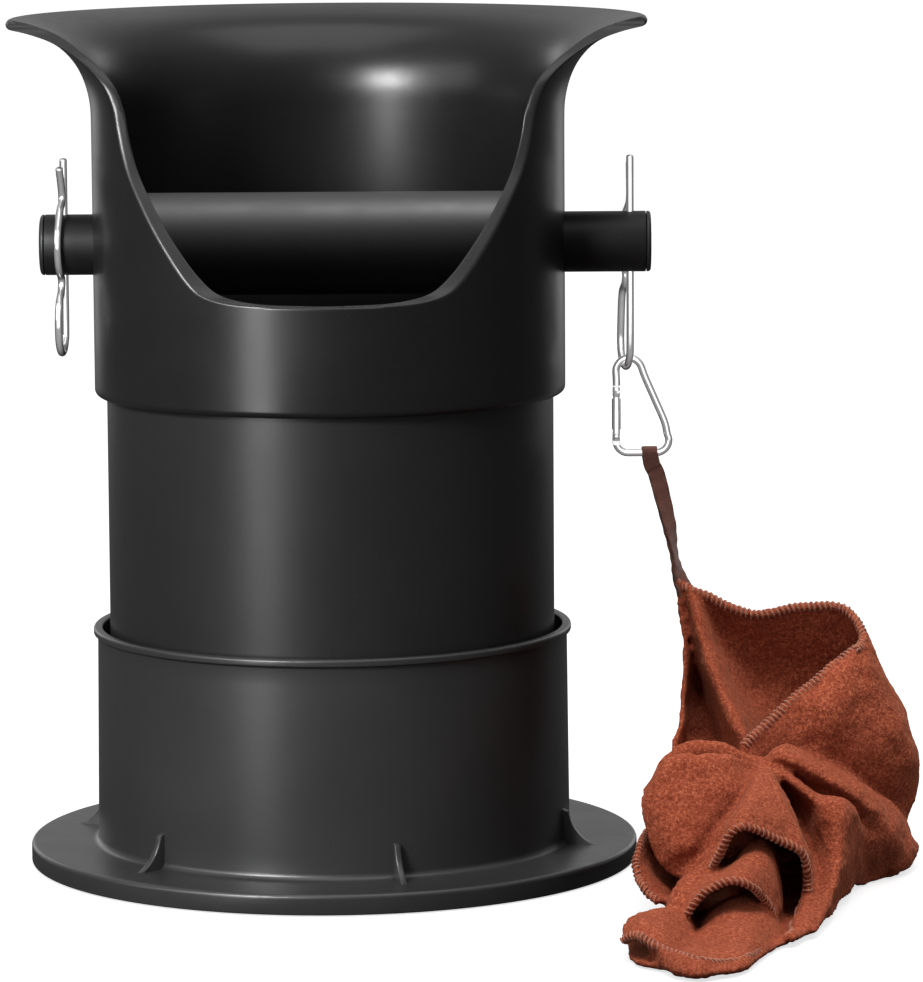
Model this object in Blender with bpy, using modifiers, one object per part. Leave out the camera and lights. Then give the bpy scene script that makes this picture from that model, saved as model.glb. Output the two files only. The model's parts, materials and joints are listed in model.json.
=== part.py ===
"""Espresso knock box: a flared hopper with a removable knock bar, standing on a
160 mm pipe in a flanged foot. A towel hangs by a carabiner from the right-hand
hairpin clip of the bar.

Lengths are in millimetres and scaled to metres on building; +Z is up. Origin:
centre of the foot's underside. The cut-away front of the hopper faces -Y, the
knock bar lies along X and the towel is on the +X side.
"""

import math

import bmesh
import bpy
from mathutils import Matrix, Vector

MM = 0.001

TURNED_STEPS = 64         # facets of the large turned parts
WELD_DISTANCE = 0.000004  # metres, for wire meshes
SHARP_DEG = 35.0          # edges steeper than this are shaded sharp


# ---- scene and objects --------------------------------------------------------
def clear_scene():
    for ob in list(bpy.data.objects):
        bpy.data.objects.remove(ob, do_unlink=True)


def collection(name):
    col = bpy.data.collections.new(name)
    bpy.context.scene.collection.children.link(col)
    return col


def add_object(name, data, col, location=(0, 0, 0)):
    ob = bpy.data.objects.new(name, data)
    if data is not None:
        data.name = name
    ob.location = [c * MM for c in location]
    col.objects.link(ob)
    return ob


def add_part(name, mesh, mat, location=(0, 0, 0)):
    ob = add_object(name, mesh, PARTS, location)
    mesh.materials.append(mat)
    return ob


def combine(ob, name, mesh, location=(0, 0, 0), operation="DIFFERENCE"):
    """Adds a helper object and a boolean on ob that uses it; returns the helper."""
    tool = add_object(name, mesh, CUTTERS, location)
    tool.hide_render = True
    tool.display_type = "WIRE"
    mod = ob.modifiers.new(operation.lower(), "BOOLEAN")
    mod.operation = operation
    mod.object = tool
    mod.solver = "EXACT"
    return tool


def material(name, colour, roughness, metallic=0.0):
    mat = bpy.data.materials.new(name)
    mat.use_nodes = True
    bsdf = mat.node_tree.nodes["Principled BSDF"]
    bsdf.inputs["Base Color"].default_value = (*colour, 1.0)
    bsdf.inputs["Roughness"].default_value = roughness
    bsdf.inputs["Metallic"].default_value = metallic
    mat.diffuse_color = (*colour, 1.0)
    return mat


# ---- plane curves -------------------------------------------------------------
def arc(centre_a, centre_b, radius, start, end, pieces):
    """pieces + 1 points of an arc in a plane, angles in degrees."""
    angles = [math.radians(start + (end - start) * i / pieces) for i in range(pieces + 1)]
    return [(centre_a + radius * math.cos(t), centre_b + radius * math.sin(t)) for t in angles]


def spline(points, pieces):
    """Catmull-Rom curve through the points, with this many pieces a span."""
    pts = [Vector(p) for p in points]
    pts = [pts[0] * 2 - pts[1]] + pts + [pts[-1] * 2 - pts[-2]]
    out = []
    for i in range(1, len(pts) - 2):
        p0, p1, p2, p3 = pts[i - 1:i + 3]
        for k in range(pieces):
            t = k / pieces
            out.append(0.5 * (2 * p1 + (p2 - p0) * t
                              + (2 * p0 - 5 * p1 + 4 * p2 - p3) * t * t
                              + (3 * p1 - p0 - 3 * p2 + p3) * t ** 3))
    out.append(pts[-2])
    return [tuple(p) for p in out]


def offset(points, distance):
    """The polyline moved sideways, to its left when distance is positive."""
    out = []
    for i, point in enumerate(points):
        before = Vector(points[max(i - 1, 0)])
        after = Vector(points[min(i + 1, len(points) - 1)])
        along = (after - before).normalized()
        out.append((point[0] - along.y * distance, point[1] + along.x * distance))
    return out


# ---- meshes -------------------------------------------------------------------
def to_mesh(bm, fix_normals=True):
    if fix_normals:
        bmesh.ops.recalc_face_normals(bm, faces=bm.faces)
    mesh = bpy.data.meshes.new("mesh")
    bm.to_mesh(mesh)
    bm.free()
    return mesh


def cylinder(radius, depth, sides, axis="Z"):
    bm = bmesh.new()
    bmesh.ops.create_cone(bm, cap_ends=True, segments=sides, radius1=radius * MM,
                          radius2=radius * MM, depth=depth * MM)
    if axis != "Z":
        turn_axis = {"X": "Y", "Y": "X"}[axis]
        bm.transform(Matrix.Rotation(math.radians(90), 4, turn_axis))
    return to_mesh(bm, fix_normals=False)


def box(size_x, size_y, size_z):
    bm = bmesh.new()
    bmesh.ops.create_cube(bm, size=1.0)
    bm.transform(Matrix.Diagonal((size_x * MM, size_y * MM, size_z * MM, 1.0)))
    return to_mesh(bm, fix_normals=False)


def prism(outline, low, high, axis):
    """A flat outline pushed from low to high: (y, z) points along X, (x, z) points along Y."""
    bm = bmesh.new()
    if axis == "X":
        verts = [bm.verts.new((low * MM, y * MM, z * MM)) for y, z in outline]
        push = Vector(((high - low) * MM, 0, 0))
    else:
        verts = [bm.verts.new((x * MM, low * MM, z * MM)) for x, z in outline]
        push = Vector((0, (high - low) * MM, 0))
    face = bm.faces.new(verts)
    made = bmesh.ops.extrude_face_region(bm, geom=[face])["geom"]
    moved = [g for g in made if isinstance(g, bmesh.types.BMVert)]
    bmesh.ops.translate(bm, verts=moved, vec=push)
    return to_mesh(bm)


def bridge(bm, rings):
    """Quads between each ring of vertices and the next."""
    for ring, following in zip(rings, rings[1:]):
        for k in range(len(ring)):
            m = (k + 1) % len(ring)
            bm.faces.new((ring[k], ring[m], following[m], following[k]))


def turned(name, profile, mat, steps=TURNED_STEPS, closed=True):
    """A body of revolution about Z; the profile is (radius, z) and is left open
    only where it starts and ends on the axis."""
    mesh = bpy.data.meshes.new(name)
    count = len(profile)
    edges = [(i, i + 1) for i in range(count - 1)]
    if closed:
        edges.append((count - 1, 0))
    mesh.from_pydata([(r * MM, 0.0, z * MM) for r, z in profile], edges, [])
    ob = add_part(name, mesh, mat)
    screw = ob.modifiers.new("screw", "SCREW")
    screw.axis = "Z"
    screw.steps = steps
    screw.render_steps = steps
    screw.use_merge_vertices = True
    screw.merge_threshold = 0.00005
    screw.use_normal_calculate = False
    screw.use_smooth_shade = True
    return ob


def wire(name, points, radius, mat, resolution=2):
    """A round capped wire along a polyline, as a welded mesh."""
    curve = bpy.data.curves.new(name, "CURVE")
    curve.dimensions = "3D"
    curve.bevel_depth = radius * MM
    curve.bevel_resolution = resolution
    curve.use_fill_caps = True
    path = curve.splines.new("POLY")
    path.points.add(len(points) - 1)
    for target, (x, y, z) in zip(path.points, points):
        target.co = (x * MM, y * MM, z * MM, 1.0)

    guide = add_object(name, curve, PARTS)
    bpy.context.view_layer.update()
    evaluated = guide.evaluated_get(bpy.context.evaluated_depsgraph_get())
    mesh = bpy.data.meshes.new_from_object(evaluated)
    bpy.data.objects.remove(guide, do_unlink=True)

    bm = bmesh.new()
    bm.from_mesh(mesh)
    bmesh.ops.remove_doubles(bm, verts=bm.verts, dist=WELD_DISTANCE)
    bmesh.ops.recalc_face_normals(bm, faces=bm.faces)
    bm.to_mesh(mesh)
    bm.free()
    return add_part(name, mesh, mat)


clear_scene()
PARTS = collection("espresso_knock_box")
CUTTERS = collection("cutters")

HOPPER_BLACK = material("hopper_black", colour=(0.012, 0.012, 0.013), roughness=0.42)
PIPE_BLACK = material("pipe_black", colour=(0.016, 0.016, 0.017), roughness=0.46)
BASE_BLACK = material("base_black", colour=(0.012, 0.012, 0.013), roughness=0.44)
BAR_BLACK = material("bar_black", colour=(0.014, 0.014, 0.015), roughness=0.38)
PLUG_BLACK = material("plug_black", colour=(0.018, 0.018, 0.019), roughness=0.5)
RUBBER = material("sleeve_rubber", colour=(0.02, 0.02, 0.021), roughness=0.7)
CLIP_STEEL = material("clip_steel", colour=(0.78, 0.78, 0.79), roughness=0.16, metallic=1.0)
CARA_STEEL = material("carabiner_steel", colour=(0.8, 0.8, 0.81), roughness=0.12, metallic=1.0)
TOWEL_BROWN = material("towel_brown", colour=(0.21, 0.055, 0.028), roughness=0.95)
STRAP_MAROON = material("strap_maroon", colour=(0.085, 0.018, 0.012), roughness=0.8)

# ---- foot: floor, flange, pipe socket and gussets -------------------------------
FLANGE_R = 109.45
FLANGE_T = 7.3
FLANGE_ROUND = 2.0        # upper rim
FLANGE_CHAMFER = 0.6      # lower rim
FLOOR_T = 4.0
FLOOR_RING_R = 40.0       # extra mesh ring on the floor's top
UNDERSIDE_RING_R = 60.0   # and on its underside
SOCKET_TOP = 85.0
SOCKET_R = 82.7           # mouth of the socket, loose round the pipe
SOCKET_CHAMFER = 0.8
SEAT_R = 80.4             # locating seat at the bottom of the socket
SEAT_H = 16.0
SEAT_TAPER_H = 4.0        # from the seat out to the socket
LIP_R = 86.0
LIP_H = 2.6
LIP_ROUND = 1.0
WALL_R_TOP = 84.5
WALL_R_LOW = 85.2
WALL_FILLET = 2.5         # where the wall meets the flange
RIB_COUNT = 6
RIB_FIRST_DEG = -74.0     # from +X, anticlockwise seen from above
RIB_T = 2.3
RIB_ROOT_R = 83.5         # buried in the socket wall
RIB_SHOULDER_R = 84.6     # end of the level top
RIB_FOOT_R = 97.5
RIB_TOP = 20.0
RIB_LOW = 5.6             # buried in the flange
RIB_SAG_R = 14.6          # hollow curve from the shoulder to the foot


def build_base():
    fillet_r, fillet_z = WALL_R_LOW + WALL_FILLET, FLANGE_T + WALL_FILLET
    rim_r = FLANGE_R - FLANGE_ROUND
    lip_r = LIP_R - LIP_ROUND
    profile = [
        (0.0, FLOOR_T), (FLOOR_RING_R, FLOOR_T), (SEAT_R, FLOOR_T), (SEAT_R, SEAT_H),
        (SOCKET_R, SEAT_H + SEAT_TAPER_H), (SOCKET_R, SOCKET_TOP - SOCKET_CHAMFER),
        (SOCKET_R + SOCKET_CHAMFER, SOCKET_TOP), (lip_r, SOCKET_TOP),
        *arc(lip_r, SOCKET_TOP - LIP_ROUND, LIP_ROUND, 60, 0, 2),
        (LIP_R, SOCKET_TOP - LIP_H + 0.6), (WALL_R_TOP, SOCKET_TOP - LIP_H - 0.5),
        *arc(fillet_r, fillet_z, WALL_FILLET, 180, 270, 3),
        (rim_r, FLANGE_T),
        *arc(rim_r, FLANGE_T - FLANGE_ROUND, FLANGE_ROUND, 60, 0, 2),
        (FLANGE_R, FLANGE_CHAMFER), (FLANGE_R - FLANGE_CHAMFER, 0.0),
        (UNDERSIDE_RING_R, 0.0), (0.0, 0.0)]
    base = turned("base_flange", profile, BASE_BLACK, closed=False)

    sag = arc(RIB_FOOT_R + 4.0, RIB_TOP + 1.0, RIB_SAG_R, 183, 262, 6)[1:]
    outline = [(RIB_ROOT_R, RIB_TOP), (RIB_SHOULDER_R, RIB_TOP)]
    outline += [(min(x, RIB_FOOT_R), z) for x, z in sag]
    outline += [(RIB_FOOT_R, RIB_LOW), (RIB_ROOT_R, RIB_LOW)]
    for i in range(RIB_COUNT):
        rib = combine(base, f"rib_cutter_{i}", prism(outline, -RIB_T / 2, RIB_T / 2, "Y"),
                      operation="UNION")
        rib.rotation_euler = (0, 0, math.radians(RIB_FIRST_DEG + 360.0 / RIB_COUNT * i))


build_base()

# ---- pipe -----------------------------------------------------------------------
PIPE_R = 80.0
PIPE_WALL = 4.0
PIPE_LOW = 4.3
PIPE_TOP = 198.7
PIPE_RING_Z = 101.0       # extra mesh ring near mid-height
PIPE_CHAMFER = 1.0


def build_pipe():
    bore = PIPE_R - PIPE_WALL
    turned("chute_pipe", [
        (PIPE_R - PIPE_CHAMFER, PIPE_TOP), (PIPE_R, PIPE_TOP - PIPE_CHAMFER),
        (PIPE_R, PIPE_RING_Z), (PIPE_R, PIPE_LOW + PIPE_CHAMFER),
        (PIPE_R - PIPE_CHAMFER, PIPE_LOW), (bore, PIPE_LOW), (bore, PIPE_RING_Z),
        (bore, PIPE_TOP)], PIPE_BLACK)


build_pipe()

# ---- hopper ---------------------------------------------------------------------
BAR_Z = 222.0             # axis of the knock bar
BAR_HOLE_R = 11.2
BAR_HOLE_LENGTH = 260.0   # spans both sides of the hopper
COLLAR_R = 84.3
COLLAR_LOW = 168.5
COLLAR_BORE = 80.35
COLLAR_ROUND = 2.4
COLLAR_RING_H = 30.0      # extra mesh ring above the collar's lower end
STOP_LOW, STOP_TOP, STOP_R = 199.0, 201.5, 77.0   # inner ledge above the pipe
THROAT_R = 80.8
SHELL_T = 3.5
CURVE_PIECES = 2          # spline pieces between table points
FRONT_CUT_HALF = 150.0    # half the front cutter's length along X
# outer side of the flare, going up: (radius, z)
FLARE = [
    (84.3, 262.0), (84.5, 271.5), (85.8, 278.5), (87.9, 284.0), (90.5, 288.2),
    (94.4, 292.3), (99.2, 295.3), (106.2, 297.8), (112.6, 299.3)]
# side view of the cut-away front, from the front lip up past the rim: (y, z)
FRONT_EDGE = [
    (-150.0, 206.5), (-88.0, 206.9), (-82.0, 207.3), (-77.0, 208.2), (-72.6, 210.6),
    (-69.2, 215.0), (-62.3, 227.4), (-54.6, 240.8), (-47.6, 253.0), (-43.2, 264.5),
    (-40.9, 274.0), (-37.8, 282.4), (-31.0, 289.0), (-22.5, 294.4), (-15.0, 299.2),
    (-11.8, 304.0), (-11.5, 330.0)]


def build_hopper():
    outer = spline(FLARE, CURVE_PIECES)
    inner = offset(outer, SHELL_T)

    # half-round rim that joins the outer side to the inner
    rim_r = SHELL_T / 2
    along = (Vector(outer[-1]) - Vector(outer[-2])).normalized()
    centre = Vector(outer[-1]) + Vector((-along.y, along.x)) * rim_r
    start = math.degrees(math.atan2(-along.x, along.y))
    rim = arc(centre.x, centre.y, rim_r, start, start + 180.0, 6)[1:-1]

    profile = [
        *reversed(outer),
        (COLLAR_R, COLLAR_LOW + COLLAR_RING_H),
        *arc(COLLAR_R - COLLAR_ROUND, COLLAR_LOW + COLLAR_ROUND, COLLAR_ROUND, 0, -90, 4),
        (COLLAR_BORE + 0.5, COLLAR_LOW), (COLLAR_BORE, COLLAR_LOW + 0.6),
        (COLLAR_BORE, STOP_LOW), (STOP_R, STOP_LOW), (STOP_R, STOP_TOP),
        (THROAT_R, STOP_TOP + 2.0),
        *inner,
        *reversed(rim)]
    hopper = turned("hopper", profile, HOPPER_BLACK)

    top_front = (FRONT_EDGE[0][0], FRONT_EDGE[-1][1])
    front = spline(FRONT_EDGE, CURVE_PIECES) + [top_front]
    combine(hopper, "front_cutter", prism(front, -FRONT_CUT_HALF, FRONT_CUT_HALF, "X"))
    combine(hopper, "bar_hole_cutter", cylinder(BAR_HOLE_R, BAR_HOLE_LENGTH, 40, "X"),
            (0, 0, BAR_Z))


build_hopper()

# ---- knock bar: tube, rubber sleeve and end plugs ---------------------------------
BAR_R = 10.85
BAR_BORE = 8.85
BAR_LEFT, BAR_RIGHT = -103.2, 115.1
BAR_RING_X = 60.0         # extra mesh rings either side of the middle
PLUG_HEAD = 1.6
PLUG_GAP = 0.3            # between the plug's head and the tube
PLUG_SPIGOT_R = 8.55
PLUG_SPIGOT = 4.0
PLUG_DOME = 0.15          # drop of the end face from its centre
SLEEVE_R = 18.3
SLEEVE_BORE = 11.2
SLEEVE_HALF = 75.0
SLEEVE_EDGE = 1.6         # rounding of the ends, with one point between its ends
LEFT_CLIP_X, RIGHT_CLIP_X = -94.6, 107.6
CLIP_HOLE_R = 1.7


def lay_on_bar_axis(ob, x=0.0, sign=1):
    """Turns a body of revolution so that its own +Z points along sign * X."""
    ob.rotation_euler = (0, math.radians(90 * sign), 0)
    ob.location = (x * MM, 0, BAR_Z * MM)


def build_core():
    right = BAR_RIGHT - PLUG_HEAD - PLUG_GAP
    left = BAR_LEFT + PLUG_HEAD + PLUG_GAP
    core = turned("knock_bar_core", [
        (BAR_R, right), (BAR_R, BAR_RING_X), (BAR_R, -BAR_RING_X), (BAR_R, left),
        (BAR_BORE, left), (BAR_BORE, right)], BAR_BLACK, steps=40)
    lay_on_bar_axis(core)
    for side, x in (("left", LEFT_CLIP_X), ("right", RIGHT_CLIP_X)):
        combine(core, f"clip_hole_cutter_{side}", cylinder(CLIP_HOLE_R, 40.0, 16), (x, 0, BAR_Z))


def build_sleeve():
    sleeve = turned("knock_bar_sleeve", [
        (SLEEVE_R - SLEEVE_EDGE, SLEEVE_HALF), (SLEEVE_R - 0.4, SLEEVE_HALF - 0.5),
        (SLEEVE_R, SLEEVE_HALF - SLEEVE_EDGE), (SLEEVE_R, 0.0),
        (SLEEVE_R, -SLEEVE_HALF + SLEEVE_EDGE), (SLEEVE_R - 0.4, -SLEEVE_HALF + 0.5),
        (SLEEVE_R - SLEEVE_EDGE, -SLEEVE_HALF), (SLEEVE_BORE, -SLEEVE_HALF),
        (SLEEVE_BORE, SLEEVE_HALF)], RUBBER, steps=48)
    lay_on_bar_axis(sleeve)


def build_plug(name, end_x, sign, crown):
    """End plug: head outside the tube, spigot inside; crown is the radius of its rim
    and sign the outward side along X."""
    plug = turned(name, [
        (0.0, 0.0), (BAR_R - crown - 2.0, -PLUG_DOME),
        *arc(BAR_R - crown, -crown - PLUG_DOME, crown, 90, 0, 3),
        (BAR_R, -PLUG_HEAD), (PLUG_SPIGOT_R, -PLUG_HEAD),
        (PLUG_SPIGOT_R, -PLUG_HEAD - PLUG_SPIGOT), (0.0, -PLUG_HEAD - PLUG_SPIGOT)],
        PLUG_BLACK, steps=32, closed=False)
    lay_on_bar_axis(plug, end_x, sign)


build_core()
build_sleeve()
build_plug("bar_end_plug_left", BAR_LEFT, sign=-1, crown=1.3)
build_plug("bar_end_plug_right", BAR_RIGHT, sign=1, crown=0.9)

# ---- hairpin clips ----------------------------------------------------------------
CLIP_WIRE_R = 1.35
CLIP_YAW_DEG = 7.5
CLIP_TOP = 252.3
LEFT_CLIP_LOW, RIGHT_CLIP_LOW = 183.8, 176.3
EYE_W = 12.6              # width of the bend at the bottom
EYE_STRETCH = 1.35        # its height over its half width
HUG_R = 12.95             # wire centre line round the bar
HUG_DEGS = (-70, -52, -34, -16, 0)


def clip_path(low):
    """A clip in its own plane: (sideways from the straight leg, z). The straight leg goes
    through the bar; the sprung leg goes round it and stands open above it."""
    eye_r = EYE_W / 2
    eye = [math.radians(a) for a in range(20, 171, 15)]
    hug = [math.radians(a) for a in HUG_DEGS]
    return [
        (0.0, CLIP_TOP), (0.0, 235.0), (0.0, 209.0), (0.0, low + 14.0),
        *((eye_r - eye_r * math.cos(a), low + eye_r * EYE_STRETCH * (1 - math.sin(a)))
          for a in eye),
        (EYE_W + 0.3, low + 12.0), (EYE_W - 1.4, 202.0), (6.9, 206.4),
        *((HUG_R * math.cos(a), BAR_Z + HUG_R * math.sin(a)) for a in hug),
        (HUG_R + 0.1, 229.0), (HUG_R + 0.2, 236.0), (HUG_R + 1.0, 243.0),
        (HUG_R + 2.6, 249.6)]


def build_clip(name, clip_x, low, side):
    """side is -1 when the sprung leg is in front of the bar (-Y) and +1 when behind."""
    yaw = math.radians(CLIP_YAW_DEG)
    along_x, along_y = -math.sin(yaw), side * math.cos(yaw)
    path = [(clip_x + u * along_x, u * along_y, z) for u, z in clip_path(low)]
    wire(name, path, CLIP_WIRE_R, CLIP_STEEL)


build_clip("r_clip_left", LEFT_CLIP_X, LEFT_CLIP_LOW, side=-1)
build_clip("r_clip_right", RIGHT_CLIP_X, RIGHT_CLIP_LOW, side=1)

# ---- carabiner, its plane parallel to XZ --------------------------------------------
CARA_Y = 6.2
CARA_R = 1.35
GATE_R = 1.6
GATE_X = 102.7
GATE_LOW, GATE_TOP = 149.4, 169.0
HINGE_Z = 151.0
TANG_Z, TANG_H = 150.8, 5.6      # flat at the pivot end of the body
NOSE_Z, NOSE_H = 166.4, 6.0      # flat at the nose
FLAT_CUT_T, FLAT_CUT_Y = 2.0, 1.6   # thickness of the flat cutters, their offset along Y
CATCH_X, CATCH_Z = 0.75, 167.2   # catch pin: offset from the gate's axis, height
DRILL = 8.0                      # length of the cross-hole cutters
SPRING_R, SPRING_WIRE_R = 0.66, 0.16
SPRING_LOW, SPRING_H = 154.6, 5.8
SPRING_TURNS, SPRING_PER_TURN = 5, 7
# body centre line (x, z), from the nose over the top, down the +X side to the pivot end
CARA_PATH = [
    (GATE_X + 0.1, 166.0), (GATE_X + 0.1, 170.6),
    *arc(107.3, 174.6, 4.7, 188, 22, 9),
    (113.2, 172.2), (116.6, 164.4), (120.0, 156.4),
    *arc(117.0, 149.6, 4.6, 28, -86, 7),
    (112.0, 145.0),
    *arc(107.0, 149.4, 4.4, 266, 178, 6),
    (GATE_X, 152.6)]
# two heads on a thin shank: (radius, distance along the axis)
RIVET = [
    (0.0, 2.3), (0.8, 2.25), (1.0, 2.0), (1.0, 1.9), (0.5, 1.85), (0.5, -1.85),
    (1.0, -1.9), (1.0, -2.0), (0.8, -2.25), (0.0, -2.3)]


def by_gate(z, x=0.0, y=0.0):
    """A place given by its height and its offset from the gate's axis."""
    return (GATE_X + x, CARA_Y + y, z)


def build_carabiner():
    body = wire("carabiner_body", [(x, CARA_Y, z) for x, z in CARA_PATH], CARA_R, CARA_STEEL)
    # both ends are flattened, and the inner (+X) half of the nose is cut away
    for k, side in enumerate((-1, 1)):
        for end, z, height in (("tang", TANG_Z, TANG_H), ("nose", NOSE_Z, NOSE_H)):
            combine(body, f"{end}_cutter_{k}", box(8.0, FLAT_CUT_T, height),
                    by_gate(z, y=side * FLAT_CUT_Y))
    combine(body, "nose_step_cutter", box(4.0, 4.0, NOSE_H), by_gate(NOSE_Z, x=2.0))
    combine(body, "tang_hole_cutter", cylinder(0.8, DRILL, 12, "Y"), by_gate(HINGE_Z))


def build_gate():
    gate = add_part("carabiner_gate", cylinder(GATE_R, GATE_TOP - GATE_LOW, 20), CARA_STEEL,
                    by_gate((GATE_TOP + GATE_LOW) / 2))
    for end, z, height in (("low", 150.4, 6.4), ("top", 168.6, 8.0)):
        combine(gate, f"gate_slot_cutter_{end}", box(6.0, 1.8, height), by_gate(z))
    combine(gate, "gate_bore_cutter", cylinder(1.0, 9.4, 14), by_gate(156.8))
    combine(gate, "gate_pin_hole_cutter", cylinder(0.6, DRILL, 12, "Y"),
            by_gate(CATCH_Z, x=CATCH_X))
    combine(gate, "gate_rivet_hole_cutter", cylinder(0.75, DRILL, 12, "Y"), by_gate(HINGE_Z))


def build_rivet():
    rivet = turned("carabiner_pivot_rivet", RIVET, CARA_STEEL, steps=12, closed=False)
    rivet.rotation_euler = (math.radians(90), 0, 0)
    rivet.location = [c * MM for c in by_gate(HINGE_Z)]


def build_catch_pin():
    add_part("carabiner_catch_pin", cylinder(0.42, 2.7, 10, "Y"), CARA_STEEL,
             by_gate(CATCH_Z, x=CATCH_X))


def build_spring():
    count = SPRING_TURNS * SPRING_PER_TURN
    points = []
    for i in range(count + 1):
        angle = 2 * math.pi * i / SPRING_PER_TURN
        points.append(by_gate(SPRING_LOW + SPRING_H * i / count,
                              x=SPRING_R * math.cos(angle), y=SPRING_R * math.sin(angle)))
    wire("carabiner_gate_spring", points, SPRING_WIRE_R, CARA_STEEL, resolution=0)


build_carabiner()
build_gate()
build_rivet()
build_catch_pin()
build_spring()

# ---- strap ------------------------------------------------------------------------
STRAP_W, STRAP_T = 5.4, 0.9
STRAP_CLEARANCE = 0.35                     # between strap and carabiner wire
STRAP_TOP_X, STRAP_TOP_Z = 114.6, 145.0    # on the bottom wire of the carabiner
STRAP_FOOT_X, STRAP_FOOT_Z = 125.6, 98.6
STRAP_LEAN = 1.0                           # the foot lies this far towards -Y
# both legs, going down: (share of the way to the foot, half the gap between the legs)
STRAP_LEG = [(0.12, 1.75), (0.35, 1.15), (0.65, 1.0), (0.92, 1.0)]


def strap_leg(side):
    return [(STRAP_TOP_X + (STRAP_FOOT_X - STRAP_TOP_X) * t,
             CARA_Y + side * half_gap - STRAP_LEAN * t,
             STRAP_TOP_Z + (STRAP_FOOT_Z - STRAP_TOP_Z) * t) for t, half_gap in STRAP_LEG]


def build_strap():
    """A flat ribbon loop round the bottom wire of the carabiner, down to the towel."""
    bend_r = CARA_R + STRAP_CLEARANCE + STRAP_T / 2
    path = [(STRAP_TOP_X, y, z) for y, z in arc(CARA_Y, STRAP_TOP_Z, bend_r, 0, 180, 6)]
    path += strap_leg(-1)
    path.append((STRAP_FOOT_X, CARA_Y - STRAP_LEAN, STRAP_FOOT_Z))
    path += reversed(strap_leg(1))
    centres = [Vector(p) for p in path]

    bm = bmesh.new()
    rings = []
    for i, centre in enumerate(centres):
        along = (centres[(i + 1) % len(centres)] - centres[i - 1]).normalized()
        across = Vector((1, 0, 0))
        across = (across - along * across.dot(along)).normalized()
        out = along.cross(across).normalized()
        ring = []
        for side, face in ((-1, -1), (1, -1), (1, 1), (-1, 1)):
            corner = centre + across * side * STRAP_W / 2 + out * face * STRAP_T / 2
            ring.append(bm.verts.new(corner * MM))
        rings.append(ring)
    bridge(bm, rings + rings[:1])
    add_part("towel_strap", to_mesh(bm), STRAP_MAROON)


build_strap()

# ---- towel ------------------------------------------------------------------------
TOWEL_SIDES = 12
TOWEL_POWER = 0.8         # below 1 the rings are squarer than an ellipse
# cage rings, going up: (z, centre x, centre y, half width, half depth)
TOWEL_RINGS = [
    (0.3, 160.0, -100.0, 46.0, 108.0),
    (13.0, 162.5, -98.0, 53.0, 118.0),
    (32.0, 163.0, -72.0, 52.5, 82.0),
    (49.0, 161.5, -48.0, 47.0, 54.0),
    (66.0, 159.0, -24.0, 42.0, 32.0),
    (84.0, 155.0, -10.0, 36.5, 18.0),
    (97.0, 150.0, -6.0, 27.0, 9.0)]


def signed_power(value):
    return math.copysign(abs(value) ** TOWEL_POWER, value)


def build_towel():
    """The gathered towel as one soft closed form: a coarse cage of rings, subdivided."""
    bm = bmesh.new()
    rings = []
    for z, centre_x, centre_y, half_width, half_depth in TOWEL_RINGS:
        ring = []
        for k in range(TOWEL_SIDES):
            angle = 2 * math.pi * k / TOWEL_SIDES
            x = centre_x + half_width * signed_power(math.cos(angle))
            y = centre_y + half_depth * signed_power(math.sin(angle))
            ring.append(bm.verts.new((x * MM, y * MM, z * MM)))
        rings.append(ring)
    bridge(bm, rings)
    bm.faces.new(list(reversed(rings[0])))
    bm.faces.new(rings[-1])
    towel = add_part("towel_cloth", to_mesh(bm), TOWEL_BROWN)
    subdivision = towel.modifiers.new("subdivision", "SUBSURF")
    subdivision.levels = 1
    subdivision.render_levels = 1


build_towel()

# ---- assembly: moving pieces hang from empties on their joint axes ------------------
# pivot: (parent pivot, place, parts it carries); a parent comes before its children
PIVOTS = {
    "pipe_pivot": (None, (0, 0, PIPE_LOW), ["chute_pipe"]),
    "hopper_pivot": ("pipe_pivot", (0, 0, PIPE_TOP), ["hopper"]),
    "bar_pivot": ("hopper_pivot", (0, 0, BAR_Z), [
        "knock_bar_core", "knock_bar_sleeve", "bar_end_plug_left", "bar_end_plug_right"]),
    "left_clip_pivot": ("bar_pivot", (LEFT_CLIP_X, 0, BAR_Z), ["r_clip_left"]),
    "right_clip_pivot": ("bar_pivot", (RIGHT_CLIP_X, 0, BAR_Z), ["r_clip_right"]),
    "carabiner_pivot": ("right_clip_pivot", (106.8, CARA_Y, RIGHT_CLIP_LOW), [
        "carabiner_body", "carabiner_pivot_rivet"]),
    "gate_pivot": ("carabiner_pivot", by_gate(HINGE_Z), [
        "carabiner_gate", "carabiner_catch_pin", "carabiner_gate_spring"]),
    "towel_pivot": ("carabiner_pivot", (STRAP_TOP_X, CARA_Y, STRAP_TOP_Z), [
        "towel_cloth", "towel_strap"]),
}


def add_pivots():
    for name, (parent, place, _) in PIVOTS.items():
        empty = add_object(name, None, PARTS, place)
        empty.empty_display_size = 0.01
        if parent:
            empty.location -= Vector(PIVOTS[parent][1]) * MM
            empty.parent = bpy.data.objects[parent]


def attach_parts():
    """Parents each part to its pivot without moving it."""
    bpy.context.view_layer.update()
    for name, (_, _, part_names) in PIVOTS.items():
        empty = bpy.data.objects[name]
        for part_name in part_names:
            part = bpy.data.objects[part_name]
            world = part.matrix_world.copy()
            part.parent = empty
            part.matrix_parent_inverse = empty.matrix_world.inverted()
            part.matrix_world = world


def shade_parts():
    for ob in PARTS.objects:
        if ob.type == "MESH":
            ob.data.shade_smooth()
            ob.data.set_sharp_from_angle(angle=math.radians(SHARP_DEG))


add_pivots()
attach_parts()
shade_parts()
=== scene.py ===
"""Looks of the espresso knock box: finer surfaces, materials, towel, camera and light, built round
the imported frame. Metres, +Z up, the same frame as the CAD. Helper inputs are in millimetres."""

import json
import math

import bmesh
import bpy
import numpy as np
from mathutils import Matrix, Vector, noise

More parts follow.
